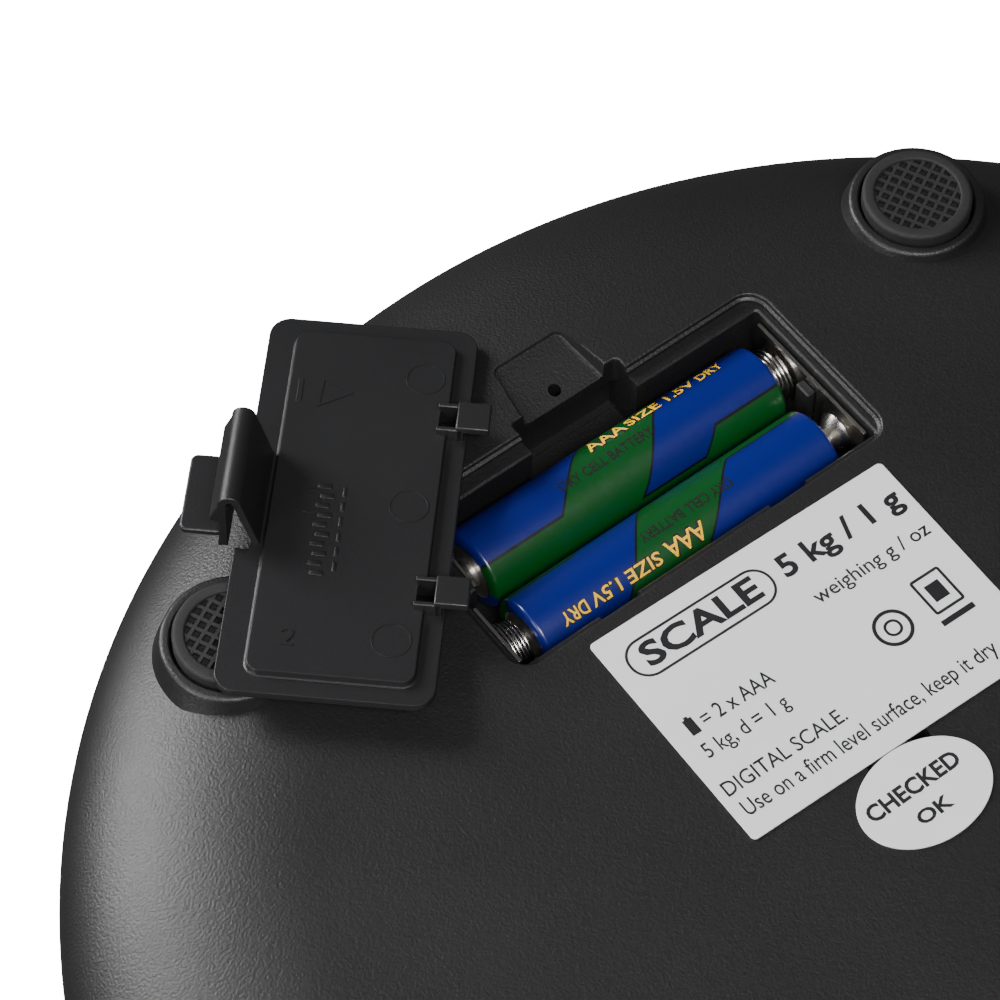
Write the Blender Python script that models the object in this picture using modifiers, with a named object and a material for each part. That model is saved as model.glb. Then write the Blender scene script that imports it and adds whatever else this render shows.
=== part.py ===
"""Round digital kitchen scale, five-kilogram type, lying upside down on its weighing platform.

Metres, +Z up. The origin is the centre of the platform's weighing face, on which the scale lies,
so the underside with its feet and battery compartment faces up. +Y points from the centre to the
battery compartment, and the display is on the hidden top side at -Y. The battery cover is off: it
is modelled in its closed place and an empty carries it to where it lies on the underside.
"""

import math

import bmesh
import bpy
from mathutils import Matrix, Vector

# Clearances
GAP = 0.0003              # between pieces that touch
SLIDE_GAP = 0.0004        # around a button, a latch or the cover in its rim

# Housing
BODY_RADIUS = 0.0987      # at the widest line
EDGE_CURVE = 0.0289       # width of the curve between the flat underside and the widest line
FLAT_Z = 0.0386           # underside plane
WIDEST_Z = 0.0233
PARTING_Z = 0.0168
WALL = 0.0022
FACE_Z = 0.0037           # face of the upper shell, round the platform
FACE_CURVE = 0.008        # width of the curve round that face
SIDE_DRAFT = 0.0003       # how much narrower the parting line is than the widest line
SHELL_STEPS = 48

# Weighing platform
PLATFORM_RADIUS = 0.0652
PLATFORM_THICKNESS = 0.0024
PLATFORM_SKIRT = 0.0065
PLATFORM_GAP = 0.0018     # ring gap between the platform and the upper shell
PLATFORM_EDGE = 0.0008    # chamfer round the weighing face
WELL_FLOOR_Z = 0.0089     # floor of the upper shell above the platform
CENTRE_OPENING_RADIUS = 0.034
FRAME_RADIUS = 0.032
FRAME_THICKNESS = 0.0024
FRAME_ARM_INSET = 0.008   # from the platform's edge to the ends of the arms
FRAME_ARM_WIDTH = 0.010

# Load cell, a bar along Y; its +Y end is screwed to the base and its -Y end to the platform frame
CELL_BAR = Vector((0.012, 0.044, 0.006))
CELL_BAR_Z = 0.0233       # its lower face
BAR_SCREW_NEAR = 0.0086   # screw places, measured from the bar's middle
BAR_SCREW_FAR = 0.0174
BAR_SCREW_RADIUS = 0.00145
BAR_SCREW_HEAD_RADIUS = 0.0028
BAR_SCREW_HEAD = 0.0024
BAR_SCREW_GRIP = 0.0048   # thickness of plastic under a screw head
BAR_WINDOW_RADIUS = 0.0019
BAR_WINDOW_SPREAD = 0.0042
BAR_SLOT_HALF = 0.0006    # half height of the slot between the two windows
SEAL_THICKNESS = 0.0008
COUNTERBORE_RADIUS = 0.0042
PAD_MARGIN = 0.0046       # plastic beyond the outer screw of each end

# Feet, each over a housing screw
FOOT_X = 0.0506
FOOT_Y = 0.0644
FOOT_RADIUS = 0.0067
FOOT_RISE = 0.0023        # above the flat underside
FOOT_HEIGHT = 0.0055
FOOT_RING = 0.0015        # width of the ring round the pad
FOOT_PAD_DEPTH = 0.0008
FOOT_EDGE = 0.0004
BOSS_WALL = 0.0013
BOSS_RISE = 0.0009        # above the flat underside
POST_RADIUS = 0.0042
HOUSING_SCREW_RADIUS = 0.0013
HOUSING_SCREW_HEAD_RADIUS = 0.0030
HOUSING_SCREW_HEAD = 0.0020
HOUSING_SCREW_END_Z = 0.0085  # Battery compartment
RIM_CENTRE_Y = 0.0542
RIM_LEDGE_X = 0.0011      # between the well and the rim's edge, along the cells
RIM_LEDGE_Y = 0.0017      # and across them
RIM_DEPTH = 0.0014
RIM_CORNER = 0.0028
RIM_WALL = 0.0013         # plastic outside the rim, below the underside
AAA_RADIUS = 0.00515
AAA_JACKET = 0.0435
AAA_NUB = 0.0010
AAA_NUB_RADIUS = 0.0019
AAA_EDGE = 0.0005
AAA_APART = 0.0007        # between the two cells
AAA_MIDDLE_Y = 0.0537
AAA_COVER = 0.00235       # from the underside plane down to the cells
CELL_1_X = 0.0008         # middle of each cell's jacket
CELL_2_X = 0.0002
CELL_SIDE_GAP = 0.0004
WELL_SPARE = 0.00425      # beyond half a jacket, for the terminal, contact and spring
CELL_FLOOR_GAP = 0.0003
PLATE = 0.0005            # contact plates
PLATE_HALF_WIDTH = 0.0044
PLATE_TOP_DEPTH = 0.0025
PAD_DIMPLE = 0.0010
DIMPLE_TIP = 0.0012
DIMPLE_ROOT_BRIDGE = 0.0030
DIMPLE_ROOT_POSITIVE = 0.0024
SPRING_WIRE = 0.0002      # radius
SPRING_SMALL = 0.0026
SPRING_LARGE = 0.0037
SPRING_POINTS = 12        # to a turn

# Battery cover, in its closed place
COVER_THICKNESS = 0.0012
COVER_CORNER = 0.0025
PANEL_RISE = 0.0009
PANEL_INSET = 0.0024
LATCH_PANEL_INSET = 0.0034
HOOK_X = 0.0124
HOOK_HALF_WIDTH = 0.0020
HOOK_REACH = 0.0026       # beyond the cover's edge
HOOK_LEG = 0.0013
HOOK_TOE = 0.0010
HOOK_DROP = 0.0026        # from the outer face to the toe
LATCH_HALF_WIDTH = 0.0066
LATCH_BAND = 0.0010
LATCH_ROOT_INSET = 0.0030
LATCH_SLANT = 0.0020
LATCH_DEPTH = 0.0093      # from the outer face to the bend
LATCH_OUT = 0.0008        # from the cover's edge to the outer leg
LATCH_TAB_LENGTH = 0.0048
LATCH_TAB_HALF_WIDTH = 0.0054
LATCH_TAB_DEPTH = 0.0003  # of its face below the underside
LATCH_BARB = 0.0010
LATCH_NOTCH = 0.0019
CATCH_DEPTH = 0.0044      # from the underside to the lower face of the catch
BARB_LENGTH = 0.0028
COVER_REST_X = -0.0304    # where the middle of the cover lies
COVER_REST_Y = 0.0695
COVER_REST_TURN = math.radians(-132.5)
COVER_TILT_ALONG = math.radians(4.3)    # one end up on a foot
COVER_TILT_ACROSS = math.radians(0.6)   # latch side up

# Thumb recess beside the latch
THUMB_LENGTH = 0.0095     # from the rim's edge
THUMB_HALF_WIDTH = 0.0070
THUMB_NARROWING = 0.75
THUMB_DEPTH = 0.0024
THUMB_SHALLOW = 0.0009
PIN_HOLE_RADIUS = 0.0008  # Display, buttons and circuit board, on the upper shell
DISPLAY_OUT = 0.0128      # from the platform's well to the middle of the display
WINDOW_HALF = Vector((0.019, 0.0075))
WINDOW_THICKNESS = 0.0014
WINDOW_LIP = 0.0026
LCD_THICKNESS = 0.0028
LCD_MARGIN = Vector((0.0010, 0.0008))  # window beyond the glass
HOLDER_WALL = Vector((0.0018, 0.0014))
ZEBRA_WIDTH = 0.002
BOARD_Z = 0.0122
BOARD_THICKNESS = 0.0016
BOARD_HALF_X = 0.034
BOARD_REACH = (-0.0090, 0.0092)        # its two long edges, measured from the display's middle
BOARD_POST_X = 0.0318
BOARD_POST_Y = 0.0065                  # from the display's middle
BOARD_SCREW_RADIUS = 0.0010
BOARD_SCREW_HEAD_RADIUS = 0.0021
BOARD_SCREW_HEAD = 0.0014
BOARD_POST_RADIUS = 0.0023
BUTTON_X = 0.0275
BUTTON_RADIUS = 0.0045
BUTTON_FLANGE = 0.0008
BUTTON_PROUD = 0.0005
BUTTON_TRAVEL = 0.0005
SWITCH_HALF = 0.003
SWITCH_BODY = 0.0032
SWITCH_STEM = 0.0009
SWITCH_STEM_RADIUS = 0.0017
BLOB_X = 0.012
BLOB_RADIUS = 0.0045
BLOB_TOP_RADIUS = 0.0030
BLOB_HEIGHT = 0.0012
LEAD_RADIUS = 0.0006
CABLE_RADIUS = 0.0009

# Stickers
LABEL_CENTRE = (0.0015, 0.0239)
LABEL_SIZE = (0.0421, 0.0303)
LABEL_TURN = math.radians(-1.4)
OVAL_CENTRE = (-0.0012, 0.0026)
OVAL_HALF = (0.0084, 0.0061)
STICKER = 0.00015
STICKER_GAP = 0.0001

# Worked out from the above
FLAT_RADIUS = BODY_RADIUS - EDGE_CURVE
FACE_RADIUS = BODY_RADIUS - FACE_CURVE
FRAME_ARM_LENGTH = PLATFORM_RADIUS - FRAME_ARM_INSET
FOOT_PAD_RADIUS = FOOT_RADIUS - FOOT_RING
WELL_HALF_X = AAA_JACKET / 2 + WELL_SPARE
AAA_PITCH = 2 * AAA_RADIUS + AAA_APART
AAA_AXIS_DEPTH = AAA_RADIUS + AAA_COVER
RIM_HALF_X = WELL_HALF_X + RIM_LEDGE_X
RIM_HALF_Y = AAA_PITCH / 2 + AAA_RADIUS + CELL_SIDE_GAP + RIM_LEDGE_Y
DISPLAY_Y = -(PLATFORM_RADIUS + PLATFORM_GAP + DISPLAY_OUT)
BOARD_Y = (DISPLAY_Y + BOARD_REACH[0], DISPLAY_Y + BOARD_REACH[1])
BOARD_POST = (BOARD_POST_X, DISPLAY_Y + BOARD_POST_Y)
RIM_EDGE_Y = RIM_CENTRE_Y + RIM_HALF_Y
COVER_HALF_X = RIM_HALF_X - SLIDE_GAP
COVER_HALF_Y = RIM_HALF_Y - SLIDE_GAP
AAA_AXIS_Z = FLAT_Z - AAA_AXIS_DEPTH
CELL_1_Y = AAA_MIDDLE_Y + AAA_PITCH / 2
CELL_2_Y = AAA_MIDDLE_Y - AAA_PITCH / 2
WELL_Z = AAA_AXIS_Z - AAA_RADIUS - CELL_FLOOR_GAP
WELL_LOW_Y = CELL_2_Y - AAA_RADIUS - CELL_SIDE_GAP
WELL_HIGH_Y = CELL_1_Y + AAA_RADIUS + CELL_SIDE_GAP
CELL_1_LEFT = CELL_1_X - AAA_JACKET / 2 - AAA_NUB
CELL_1_RIGHT = CELL_1_X + AAA_JACKET / 2
CELL_2_LEFT = CELL_2_X - AAA_JACKET / 2
CELL_2_RIGHT = CELL_2_X + AAA_JACKET / 2 + AAA_NUB
STEP_X = CELL_1_LEFT - GAP - PAD_DIMPLE - PLATE - GAP   # end wall of the first cell's lane
PLATE_INNER_X = WELL_HALF_X - GAP - PLATE
PLATE_TOP_Z = FLAT_Z - PLATE_TOP_DEPTH
OUTER_LEG_Y = COVER_HALF_Y + LATCH_OUT                  # latch leg's inner side, from the cover's middle
POCKET_Y = RIM_CENTRE_Y + OUTER_LEG_Y + LATCH_BAND + SLIDE_GAP
POCKET_HALF_X = LATCH_HALF_WIDTH + 3 * SLIDE_GAP
POCKET_Z = FLAT_Z - LATCH_DEPTH - 3 * SLIDE_GAP
CATCH_Z = FLAT_Z - CATCH_DEPTH
FOOT_TOP_Z = FLAT_Z + FOOT_RISE
FOOT_BASE_Z = FOOT_TOP_Z - FOOT_HEIGHT
BOSS_RADIUS = FOOT_RADIUS + GAP + BOSS_WALL
SCREW_SEAT_Z = FOOT_BASE_Z - 2 * GAP - HOUSING_SCREW_HEAD
PLATFORM_WELL_RADIUS = PLATFORM_RADIUS + PLATFORM_GAP
CELL_BAR_TOP_Z = CELL_BAR_Z + CELL_BAR.z
BAR_SEAT_Z = CELL_BAR_TOP_Z + GAP + BAR_SCREW_GRIP       # under the heads of the base's screws
FRAME_Z = PLATFORM_THICKNESS + GAP
FRAME_TOP_Z = CELL_BAR_Z - GAP
FRAME_SEAT_Z = FRAME_TOP_Z - BAR_SCREW_GRIP
FOOT_PLACES = [(FOOT_X, FOOT_Y), (-FOOT_X, FOOT_Y), (-FOOT_X, -FOOT_Y), (FOOT_X, -FOOT_Y)]
CUT = 0.002               # how far a cutter runs past a face
OFF_PLANE = 0.0001        # keeps the faces of two joined solids out of one plane

for old in list(bpy.data.objects):
    bpy.data.objects.remove(old, do_unlink=True)


def new_collection(name, parent=None):
    made = bpy.data.collections.new(name)
    (parent or bpy.context.scene.collection).children.link(made)
    return made


PARTS = new_collection("kitchen_scale")
CUTTERS = new_collection("kitchen_scale_cutters")


def material(name, colour, roughness, metallic=0.0):
    made = bpy.data.materials.new(name)
    made.use_nodes = True
    shader = made.node_tree.nodes["Principled BSDF"]
    shader.inputs["Base Color"].default_value = (*colour, 1.0)
    shader.inputs["Roughness"].default_value = roughness
    shader.inputs["Metallic"].default_value = metallic
    return made


BLACK_PLASTIC = material("black_plastic", (0.022, 0.021, 0.022), 0.6)
DARK_PLASTIC = material("dark_plastic", (0.030, 0.030, 0.031), 0.5)
RUBBER = material("rubber", (0.020, 0.020, 0.020), 0.8)
PLATED = material("plated_metal", (0.60, 0.58, 0.54), 0.3, 1.0)
ALUMINIUM = material("aluminium", (0.62, 0.62, 0.64), 0.4, 1.0)
ZINC = material("zinc_screw", (0.50, 0.50, 0.50), 0.35, 1.0)
JACKET = material("cell_jacket", (0.010, 0.030, 0.350), 0.35)
PAPER = material("paper", (0.60, 0.60, 0.62), 0.6)
BOARD_GREEN = material("board", (0.020, 0.120, 0.050), 0.5)
EPOXY = material("epoxy", (0.010, 0.010, 0.010), 0.4)
LCD_GREY = material("lcd", (0.300, 0.340, 0.280), 0.2)
CLEAR = material("clear_plastic", (0.080, 0.085, 0.090), 0.1)
SILICONE = material("silicone", (0.70, 0.70, 0.68), 0.5)
RED_WIRE = material("red_wire", (0.400, 0.020, 0.020), 0.5)
BLACK_WIRE = material("black_wire", (0.015, 0.015, 0.015), 0.5)
GREY_WIRE = material("grey_wire", (0.250, 0.250, 0.260), 0.5)


def place(name, mesh, finish, parent=None):
    """An object of the part with its finish, or a cutter where finish is None."""
    obj = bpy.data.objects.new(name, mesh)
    (PARTS if finish else CUTTERS).objects.link(obj)
    obj.parent = parent
    if finish:
        mesh.materials.append(finish)
    else:
        obj.hide_render = True
        obj.display_type = "WIRE"
    return obj


def to_mesh(name, bm):
    bmesh.ops.recalc_face_normals(bm, faces=bm.faces)
    mesh = bpy.data.meshes.new(name)
    bm.to_mesh(mesh)
    bm.free()
    return mesh


def cube_in(bm, low, high):
    middle = (Vector(low) + Vector(high)) / 2
    size = Vector(high) - Vector(low)
    return bmesh.ops.create_cube(bm, size=1, matrix=Matrix.LocRotScale(middle, None, size))["verts"]


def box(name, low, high, finish=None, parent=None):
    bm = bmesh.new()
    cube_in(bm, low, high)
    return place(name, to_mesh(name, bm), finish, parent)


def rounded_box(name, low, high, corner, finish=None, parent=None, segments=4):
    """A box whose four upright edges are rounded."""
    bm = bmesh.new()
    cube_in(bm, low, high)
    upright = [e for e in bm.edges if abs(e.verts[0].co.z - e.verts[1].co.z) > 1e-6]
    bmesh.ops.bevel(bm, geom=upright, offset=corner, segments=segments, affect="EDGES", profile=0.5)
    return place(name, to_mesh(name, bm), finish, parent)


def rod(name, x, y, low, high, radius, finish=None, segments=24, top_radius=None):
    """An upright cylinder or cone between two heights."""
    bm = bmesh.new()
    bmesh.ops.create_cone(
        bm, cap_ends=True, segments=segments, radius1=radius, radius2=top_radius or radius,
        depth=high - low, matrix=Matrix.Translation((x, y, (low + high) / 2)))
    return place(name, to_mesh(name, bm), finish)


def rod_along_x(name, low, high, y, z, radius, finish=None, segments=16, end_radius=None):
    """A cylinder or cone along X; radius is at its low end."""
    bm = bmesh.new()
    bmesh.ops.create_cone(
        bm, cap_ends=True, segments=segments, radius1=radius, radius2=end_radius or radius,
        depth=high - low,
        matrix=Matrix.Translation(((low + high) / 2, y, z)) @ Matrix.Rotation(math.pi / 2, 4, "Y"))
    return place(name, to_mesh(name, bm), finish)


def turned(name, profile, steps, finish=None):
    """A closed (radius, height) outline turned about the object's own Z axis."""
    pairs = zip(profile, profile[1:] + profile[:1])
    if sum(a[0] * b[1] - b[0] * a[1] for a, b in pairs) > 0:
        profile = profile[::-1]
    on_axis = [i for i, point in enumerate(profile) if point[0] == 0]
    if on_axis:
        start = next(i for i in on_axis if profile[i - 1][0] == 0)
        profile = profile[start:] + profile[:start]
    bm = bmesh.new()
    points = [bm.verts.new((r, 0, z)) for r, z in profile]
    for first, second in zip(points, points[1:]):
        bm.edges.new((first, second))
    if not on_axis:
        bm.edges.new((points[-1], points[0]))
    mesh = bpy.data.meshes.new(name)
    bm.to_mesh(mesh)
    bm.free()
    obj = place(name, mesh, finish)
    screw = obj.modifiers.new("turn", "SCREW")
    screw.steps = screw.render_steps = steps
    screw.use_merge_vertices = True
    screw.merge_threshold = 0.00001
    return obj


def arc(centre, radii, start, end, count):
    """Points of a quarter ellipse from one angle to another, in degrees, both ends included."""
    for i in range(count + 1):
        angle = math.radians(start + (end - start) * i / count)
        yield centre[0] + radii[0] * math.cos(angle), centre[1] + radii[1] * math.sin(angle)


def prism(name, outline, half_width, finish=None, parent=None):
    """A (y, z) outline extruded along X on both sides of the middle."""
    bm = bmesh.new()
    face = bm.faces.new([bm.verts.new((-half_width, y, z)) for y, z in outline])
    grown = bmesh.ops.extrude_face_region(bm, geom=[face])["geom"]
    moved = [item for item in grown if isinstance(item, bmesh.types.BMVert)]
    bmesh.ops.translate(bm, verts=moved, vec=(2 * half_width, 0, 0))
    return place(name, to_mesh(name, bm), finish, parent)


def combine(target, label, operation, tools):
    """One Boolean of all the tools, kept together in a collection of their own."""
    group = new_collection(f"{target.name}_{label}", CUTTERS)
    for tool in tools:
        group.objects.link(tool)
        CUTTERS.objects.unlink(tool)
    cut = target.modifiers.new(label, "BOOLEAN")
    cut.operation = operation
    cut.solver = "EXACT"
    cut.operand_type = "COLLECTION"
    cut.collection = group


def base_shell():
    outside = [(0, FLAT_Z),
               *arc((FLAT_RADIUS, WIDEST_Z), (BODY_RADIUS - FLAT_RADIUS, FLAT_Z - WIDEST_Z), 90, 0, 8)]
    outside.append((BODY_RADIUS - SIDE_DRAFT, PARTING_Z + GAP / 2))
    inner_radii = (BODY_RADIUS - FLAT_RADIUS - WALL, FLAT_Z - WIDEST_Z - WALL)
    inside = [(BODY_RADIUS - SIDE_DRAFT - WALL, PARTING_Z + GAP / 2)]
    inside += [*arc((FLAT_RADIUS, WIDEST_Z), inner_radii, 0, 90, 6), (0, FLAT_Z - WALL)]
    shell = turned("base_shell", outside + inside, SHELL_STEPS, BLACK_PLASTIC)

    skin = FLAT_Z - WALL / 2
    added = [
        rounded_box("compartment_block",
                    (-RIM_HALF_X - RIM_WALL, RIM_CENTRE_Y - RIM_HALF_Y - RIM_WALL, WELL_Z - RIM_WALL),
                    (RIM_HALF_X + RIM_WALL, RIM_EDGE_Y + RIM_WALL, skin), RIM_CORNER),
        box("latch_block", (-POCKET_HALF_X - RIM_WALL, WELL_HIGH_Y, POCKET_Z - RIM_WALL),
            (POCKET_HALF_X + RIM_WALL, POCKET_Y + LATCH_BARB + SLIDE_GAP + RIM_WALL, skin - OFF_PLANE)),
        box("thumb_block",
            (-THUMB_HALF_WIDTH - RIM_WALL / 2, WELL_HIGH_Y + 0.001, FLAT_Z - THUMB_DEPTH - RIM_WALL * 2),
            (THUMB_HALF_WIDTH + RIM_WALL / 2, RIM_EDGE_Y + THUMB_LENGTH + RIM_WALL, FLAT_Z - WALL + 0.0005)),
        box("load_cell_pad",
            (-CELL_BAR.x / 2, BAR_SCREW_NEAR - PAD_MARGIN, CELL_BAR_TOP_Z + GAP),
            (CELL_BAR.x / 2, BAR_SCREW_FAR + PAD_MARGIN, skin)),
    ]
    for i, (x, y) in enumerate(FOOT_PLACES, 1):
        added.append(rod(f"foot_boss_{i}", x, y, SCREW_SEAT_Z - WALL, FLAT_Z + BOSS_RISE, BOSS_RADIUS,
                         segments=24))
        added.append(rod(f"screw_post_{i}", x, y, PARTING_Z + GAP / 2, SCREW_SEAT_Z, POST_RADIUS,
                         segments=16))
    combine(shell, "add", "UNION", added)

    over = FLAT_Z + CUT
    removed = [
        box("lane_1", (STEP_X, AAA_MIDDLE_Y - OFF_PLANE, WELL_Z), (WELL_HALF_X, WELL_HIGH_Y, over)),
        box("lane_2", (-WELL_HALF_X, WELL_LOW_Y, WELL_Z), (WELL_HALF_X, AAA_MIDDLE_Y, over)),
        rounded_box("rim", (-RIM_HALF_X, RIM_CENTRE_Y - RIM_HALF_Y, FLAT_Z - RIM_DEPTH),
                    (RIM_HALF_X, RIM_EDGE_Y, over), RIM_CORNER),
        box("latch_pocket", (-POCKET_HALF_X, WELL_HIGH_Y - 0.0005, POCKET_Z),
            (POCKET_HALF_X, POCKET_Y, over)),
        box("catch_undercut", (-POCKET_HALF_X, POCKET_Y - 0.0005, POCKET_Z + 0.0002),
            (POCKET_HALF_X, POCKET_Y + LATCH_BARB, CATCH_Z)),
        thumb_recess(),
        rod("pin_hole", 0, POCKET_Y + 2.2 * PIN_HOLE_RADIUS, CATCH_Z - CUT, over, PIN_HOLE_RADIUS,
            segments=12),
    ]
    for side in (-1, 1):
        x = side * HOOK_X
        half = HOOK_HALF_WIDTH + 2 * SLIDE_GAP
        low_y = RIM_CENTRE_Y - RIM_HALF_Y
        toe = FLAT_Z - HOOK_DROP
        removed.append(box(f"hook_window_{side}",
                           (x - half, low_y - RIM_WALL - CUT, toe - HOOK_TOE - SLIDE_GAP),
                           (x + half, WELL_LOW_Y + 0.0005, toe + SLIDE_GAP)))
        removed.append(box(f"hook_notch_{side}", (x - half, low_y + 0.0002, toe),
                           (x + half, WELL_LOW_Y + 0.0004, over)))
    for place_y in (BAR_SCREW_NEAR, BAR_SCREW_FAR):
        label = round(place_y * 1e4)
        removed.append(rod(f"counterbore_{label}", 0, place_y, BAR_SEAT_Z, over, COUNTERBORE_RADIUS))
        removed.append(rod(f"bar_screw_hole_{label}", 0, place_y, CELL_BAR_TOP_Z - CUT, BAR_SEAT_Z + CUT / 2,
                           BAR_SCREW_RADIUS + GAP, segments=16))
    for i, (x, y) in enumerate(FOOT_PLACES, 1):
        removed.append(rod(f"foot_well_{i}", x, y, FOOT_BASE_Z - GAP, over + FOOT_RISE, FOOT_RADIUS + GAP,
                           segments=24))
        removed.append(rod(f"screw_seat_{i}", x, y, SCREW_SEAT_Z, FOOT_BASE_Z + CUT,
                           HOUSING_SCREW_HEAD_RADIUS + GAP, segments=16))
        removed.append(rod(f"screw_hole_{i}", x, y, PARTING_Z - CUT, SCREW_SEAT_Z + CUT / 2,
                           HOUSING_SCREW_RADIUS + GAP, segments=12))
    combine(shell, "cut", "DIFFERENCE", removed)


def thumb_recess():
    """A hollow beside the latch, narrower and shallower away from the rim."""
    bm = bmesh.new()
    corners = cube_in(bm, (-THUMB_HALF_WIDTH, POCKET_Y - 0.0005, FLAT_Z - THUMB_DEPTH),
                      (THUMB_HALF_WIDTH, RIM_EDGE_Y + THUMB_LENGTH, FLAT_Z + CUT))
    for corner in corners:
        if corner.co.y > POCKET_Y:
            corner.co.x *= THUMB_NARROWING
            corner.co.z += (THUMB_DEPTH - THUMB_SHALLOW) * (corner.co.z < FLAT_Z)
    return place("thumb_recess", to_mesh("thumb_recess", bm), None)


def upper_shell():
    top = PARTING_Z - GAP / 2
    rise = top - FACE_Z
    reach = BODY_RADIUS - SIDE_DRAFT - FACE_RADIUS
    outline = [*arc((FACE_RADIUS, top), (reach, rise), 0, -90, 6)]
    outline += [(PLATFORM_WELL_RADIUS, FACE_Z), (PLATFORM_WELL_RADIUS, WELL_FLOOR_Z),
                (CENTRE_OPENING_RADIUS, WELL_FLOOR_Z), (CENTRE_OPENING_RADIUS, WELL_FLOOR_Z + WALL),
                (PLATFORM_WELL_RADIUS + WALL, WELL_FLOOR_Z + WALL), (PLATFORM_WELL_RADIUS + WALL,
                    FACE_Z + WALL)]
    outline += [*arc((FACE_RADIUS, top), (reach - WALL, rise - WALL), -90, 0, 5)]
    shell = turned("upper_shell", outline, SHELL_STEPS, BLACK_PLASTIC)

    inside = FACE_Z + WALL / 2
    added = []
    for i, (x, y) in enumerate(FOOT_PLACES, 1):
        added.append(rod(f"upper_post_{i}", x, y, inside, top, POST_RADIUS, segments=16))
    for side in (-1, 1):
        added.append(rod(f"board_post_{side}", side * BOARD_POST[0], BOARD_POST[1], inside, BOARD_Z - GAP,
                         BOARD_POST_RADIUS, segments=12))
    combine(shell, "add", "UNION", added)

    window = WINDOW_HALF + Vector((SLIDE_GAP, SLIDE_GAP))
    view = WINDOW_HALF - Vector((WINDOW_LIP, WINDOW_LIP))
    removed = [
        box("window_recess", (-window.x, DISPLAY_Y - window.y, FACE_Z - CUT),
            (window.x, DISPLAY_Y + window.y, FACE_Z + WINDOW_THICKNESS + GAP)),
        box("window_view", (-view.x, DISPLAY_Y - view.y, FACE_Z - CUT),
            (view.x, DISPLAY_Y + view.y, FACE_Z + WALL + CUT)),
    ]
    for i, (x, y) in enumerate(FOOT_PLACES, 1):
        removed.append(rod(f"post_hole_{i}", x, y, HOUSING_SCREW_END_Z - GAP, top + CUT,
                           HOUSING_SCREW_RADIUS + GAP, segments=12))
    for side in (-1, 1):
        removed.append(rod(f"button_hole_{side}", side * BUTTON_X, DISPLAY_Y, FACE_Z - CUT,
                           FACE_Z + WALL + CUT,
                           BUTTON_RADIUS + SLIDE_GAP))
        removed.append(rod(f"board_hole_{side}", side * BOARD_POST[0], BOARD_POST[1], FACE_Z + WALL + GAP,
                           BOARD_Z + CUT,
                           BOARD_SCREW_RADIUS + GAP, segments=12))
    combine(shell, "cut", "DIFFERENCE", removed)


def weighing_platform():
    turned("platform", [
        (0, 0), (PLATFORM_RADIUS - PLATFORM_EDGE, 0), (PLATFORM_RADIUS, PLATFORM_EDGE), (PLATFORM_RADIUS,
            PLATFORM_SKIRT),
        (PLATFORM_RADIUS - WALL, PLATFORM_SKIRT), (PLATFORM_RADIUS - WALL, PLATFORM_THICKNESS),
        (0, PLATFORM_THICKNESS)], SHELL_STEPS, DARK_PLASTIC)

    frame = rod("platform_frame", 0, 0, FRAME_Z, FRAME_Z + FRAME_THICKNESS, FRAME_RADIUS, DARK_PLASTIC, 32)
    half = FRAME_ARM_WIDTH / 2
    low = FRAME_Z + OFF_PLANE
    high = FRAME_Z + FRAME_THICKNESS - OFF_PLANE
    added = [
        box("arm_x", (-FRAME_ARM_LENGTH, -half, low), (FRAME_ARM_LENGTH, half, high)),
        box("arm_y", (-half, -FRAME_ARM_LENGTH, low + OFF_PLANE), (half, FRAME_ARM_LENGTH, high - OFF_PLANE)),
        box("frame_post", (-CELL_BAR.x / 2, -BAR_SCREW_FAR - PAD_MARGIN, FRAME_Z + FRAME_THICKNESS / 2),
            (CELL_BAR.x / 2, -BAR_SCREW_NEAR + PAD_MARGIN, FRAME_TOP_Z)),
    ]
    combine(frame, "add", "UNION", added)
    removed = []
    for place_y in (-BAR_SCREW_NEAR, -BAR_SCREW_FAR):
        label = round(-place_y * 1e4)
        removed.append(rod(f"frame_bore_{label}", 0, place_y, FRAME_Z - CUT, FRAME_SEAT_Z,
                           BAR_SCREW_HEAD_RADIUS + GAP, segments=16))
        removed.append(rod(f"frame_hole_{label}", 0, place_y, FRAME_SEAT_Z - CUT / 2, FRAME_TOP_Z + CUT,
                           BAR_SCREW_RADIUS + GAP, segments=12))
    combine(frame, "cut", "DIFFERENCE", removed)


def load_cell():
    """A bar with a double round window through its middle and two tapped holes at each end."""
    half = CELL_BAR / 2
    bar = box("load_cell", (-half.x, -half.y, CELL_BAR_Z), (half.x, half.y, CELL_BAR_TOP_Z), ALUMINIUM)
    middle = CELL_BAR_Z + half.z
    wide = half.x + CUT
    removed = [box("bar_slot", (-wide, -BAR_WINDOW_SPREAD, middle - BAR_SLOT_HALF),
                   (wide, BAR_WINDOW_SPREAD, middle + BAR_SLOT_HALF))]
    for side in (-1, 1):
        removed.append(rod_along_x(f"bar_window_{side}", -wide - OFF_PLANE, wide + OFF_PLANE,
                                   side * BAR_WINDOW_SPREAD, middle,
                                   BAR_WINDOW_RADIUS, segments=16))
        for place_y in (BAR_SCREW_NEAR, BAR_SCREW_FAR):
            removed.append(rod(f"bar_hole_{side}_{round(place_y * 1e4)}", 0, side * place_y, CELL_BAR_Z - CUT,
                               CELL_BAR_TOP_Z + CUT, BAR_SCREW_RADIUS + GAP, segments=12))
    combine(bar, "cut", "DIFFERENCE", removed)
    seal = Vector((half.x * 0.7, BAR_WINDOW_SPREAD, SEAL_THICKNESS))
    for name, low in (("gauge_seal_base_side", CELL_BAR_TOP_Z + GAP),
                      ("gauge_seal_platform_side", CELL_BAR_Z - GAP - seal.z)):
        box(name, (-seal.x, -seal.y + GAP, low), (seal.x, seal.y - GAP, low + seal.z), SILICONE)


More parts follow.
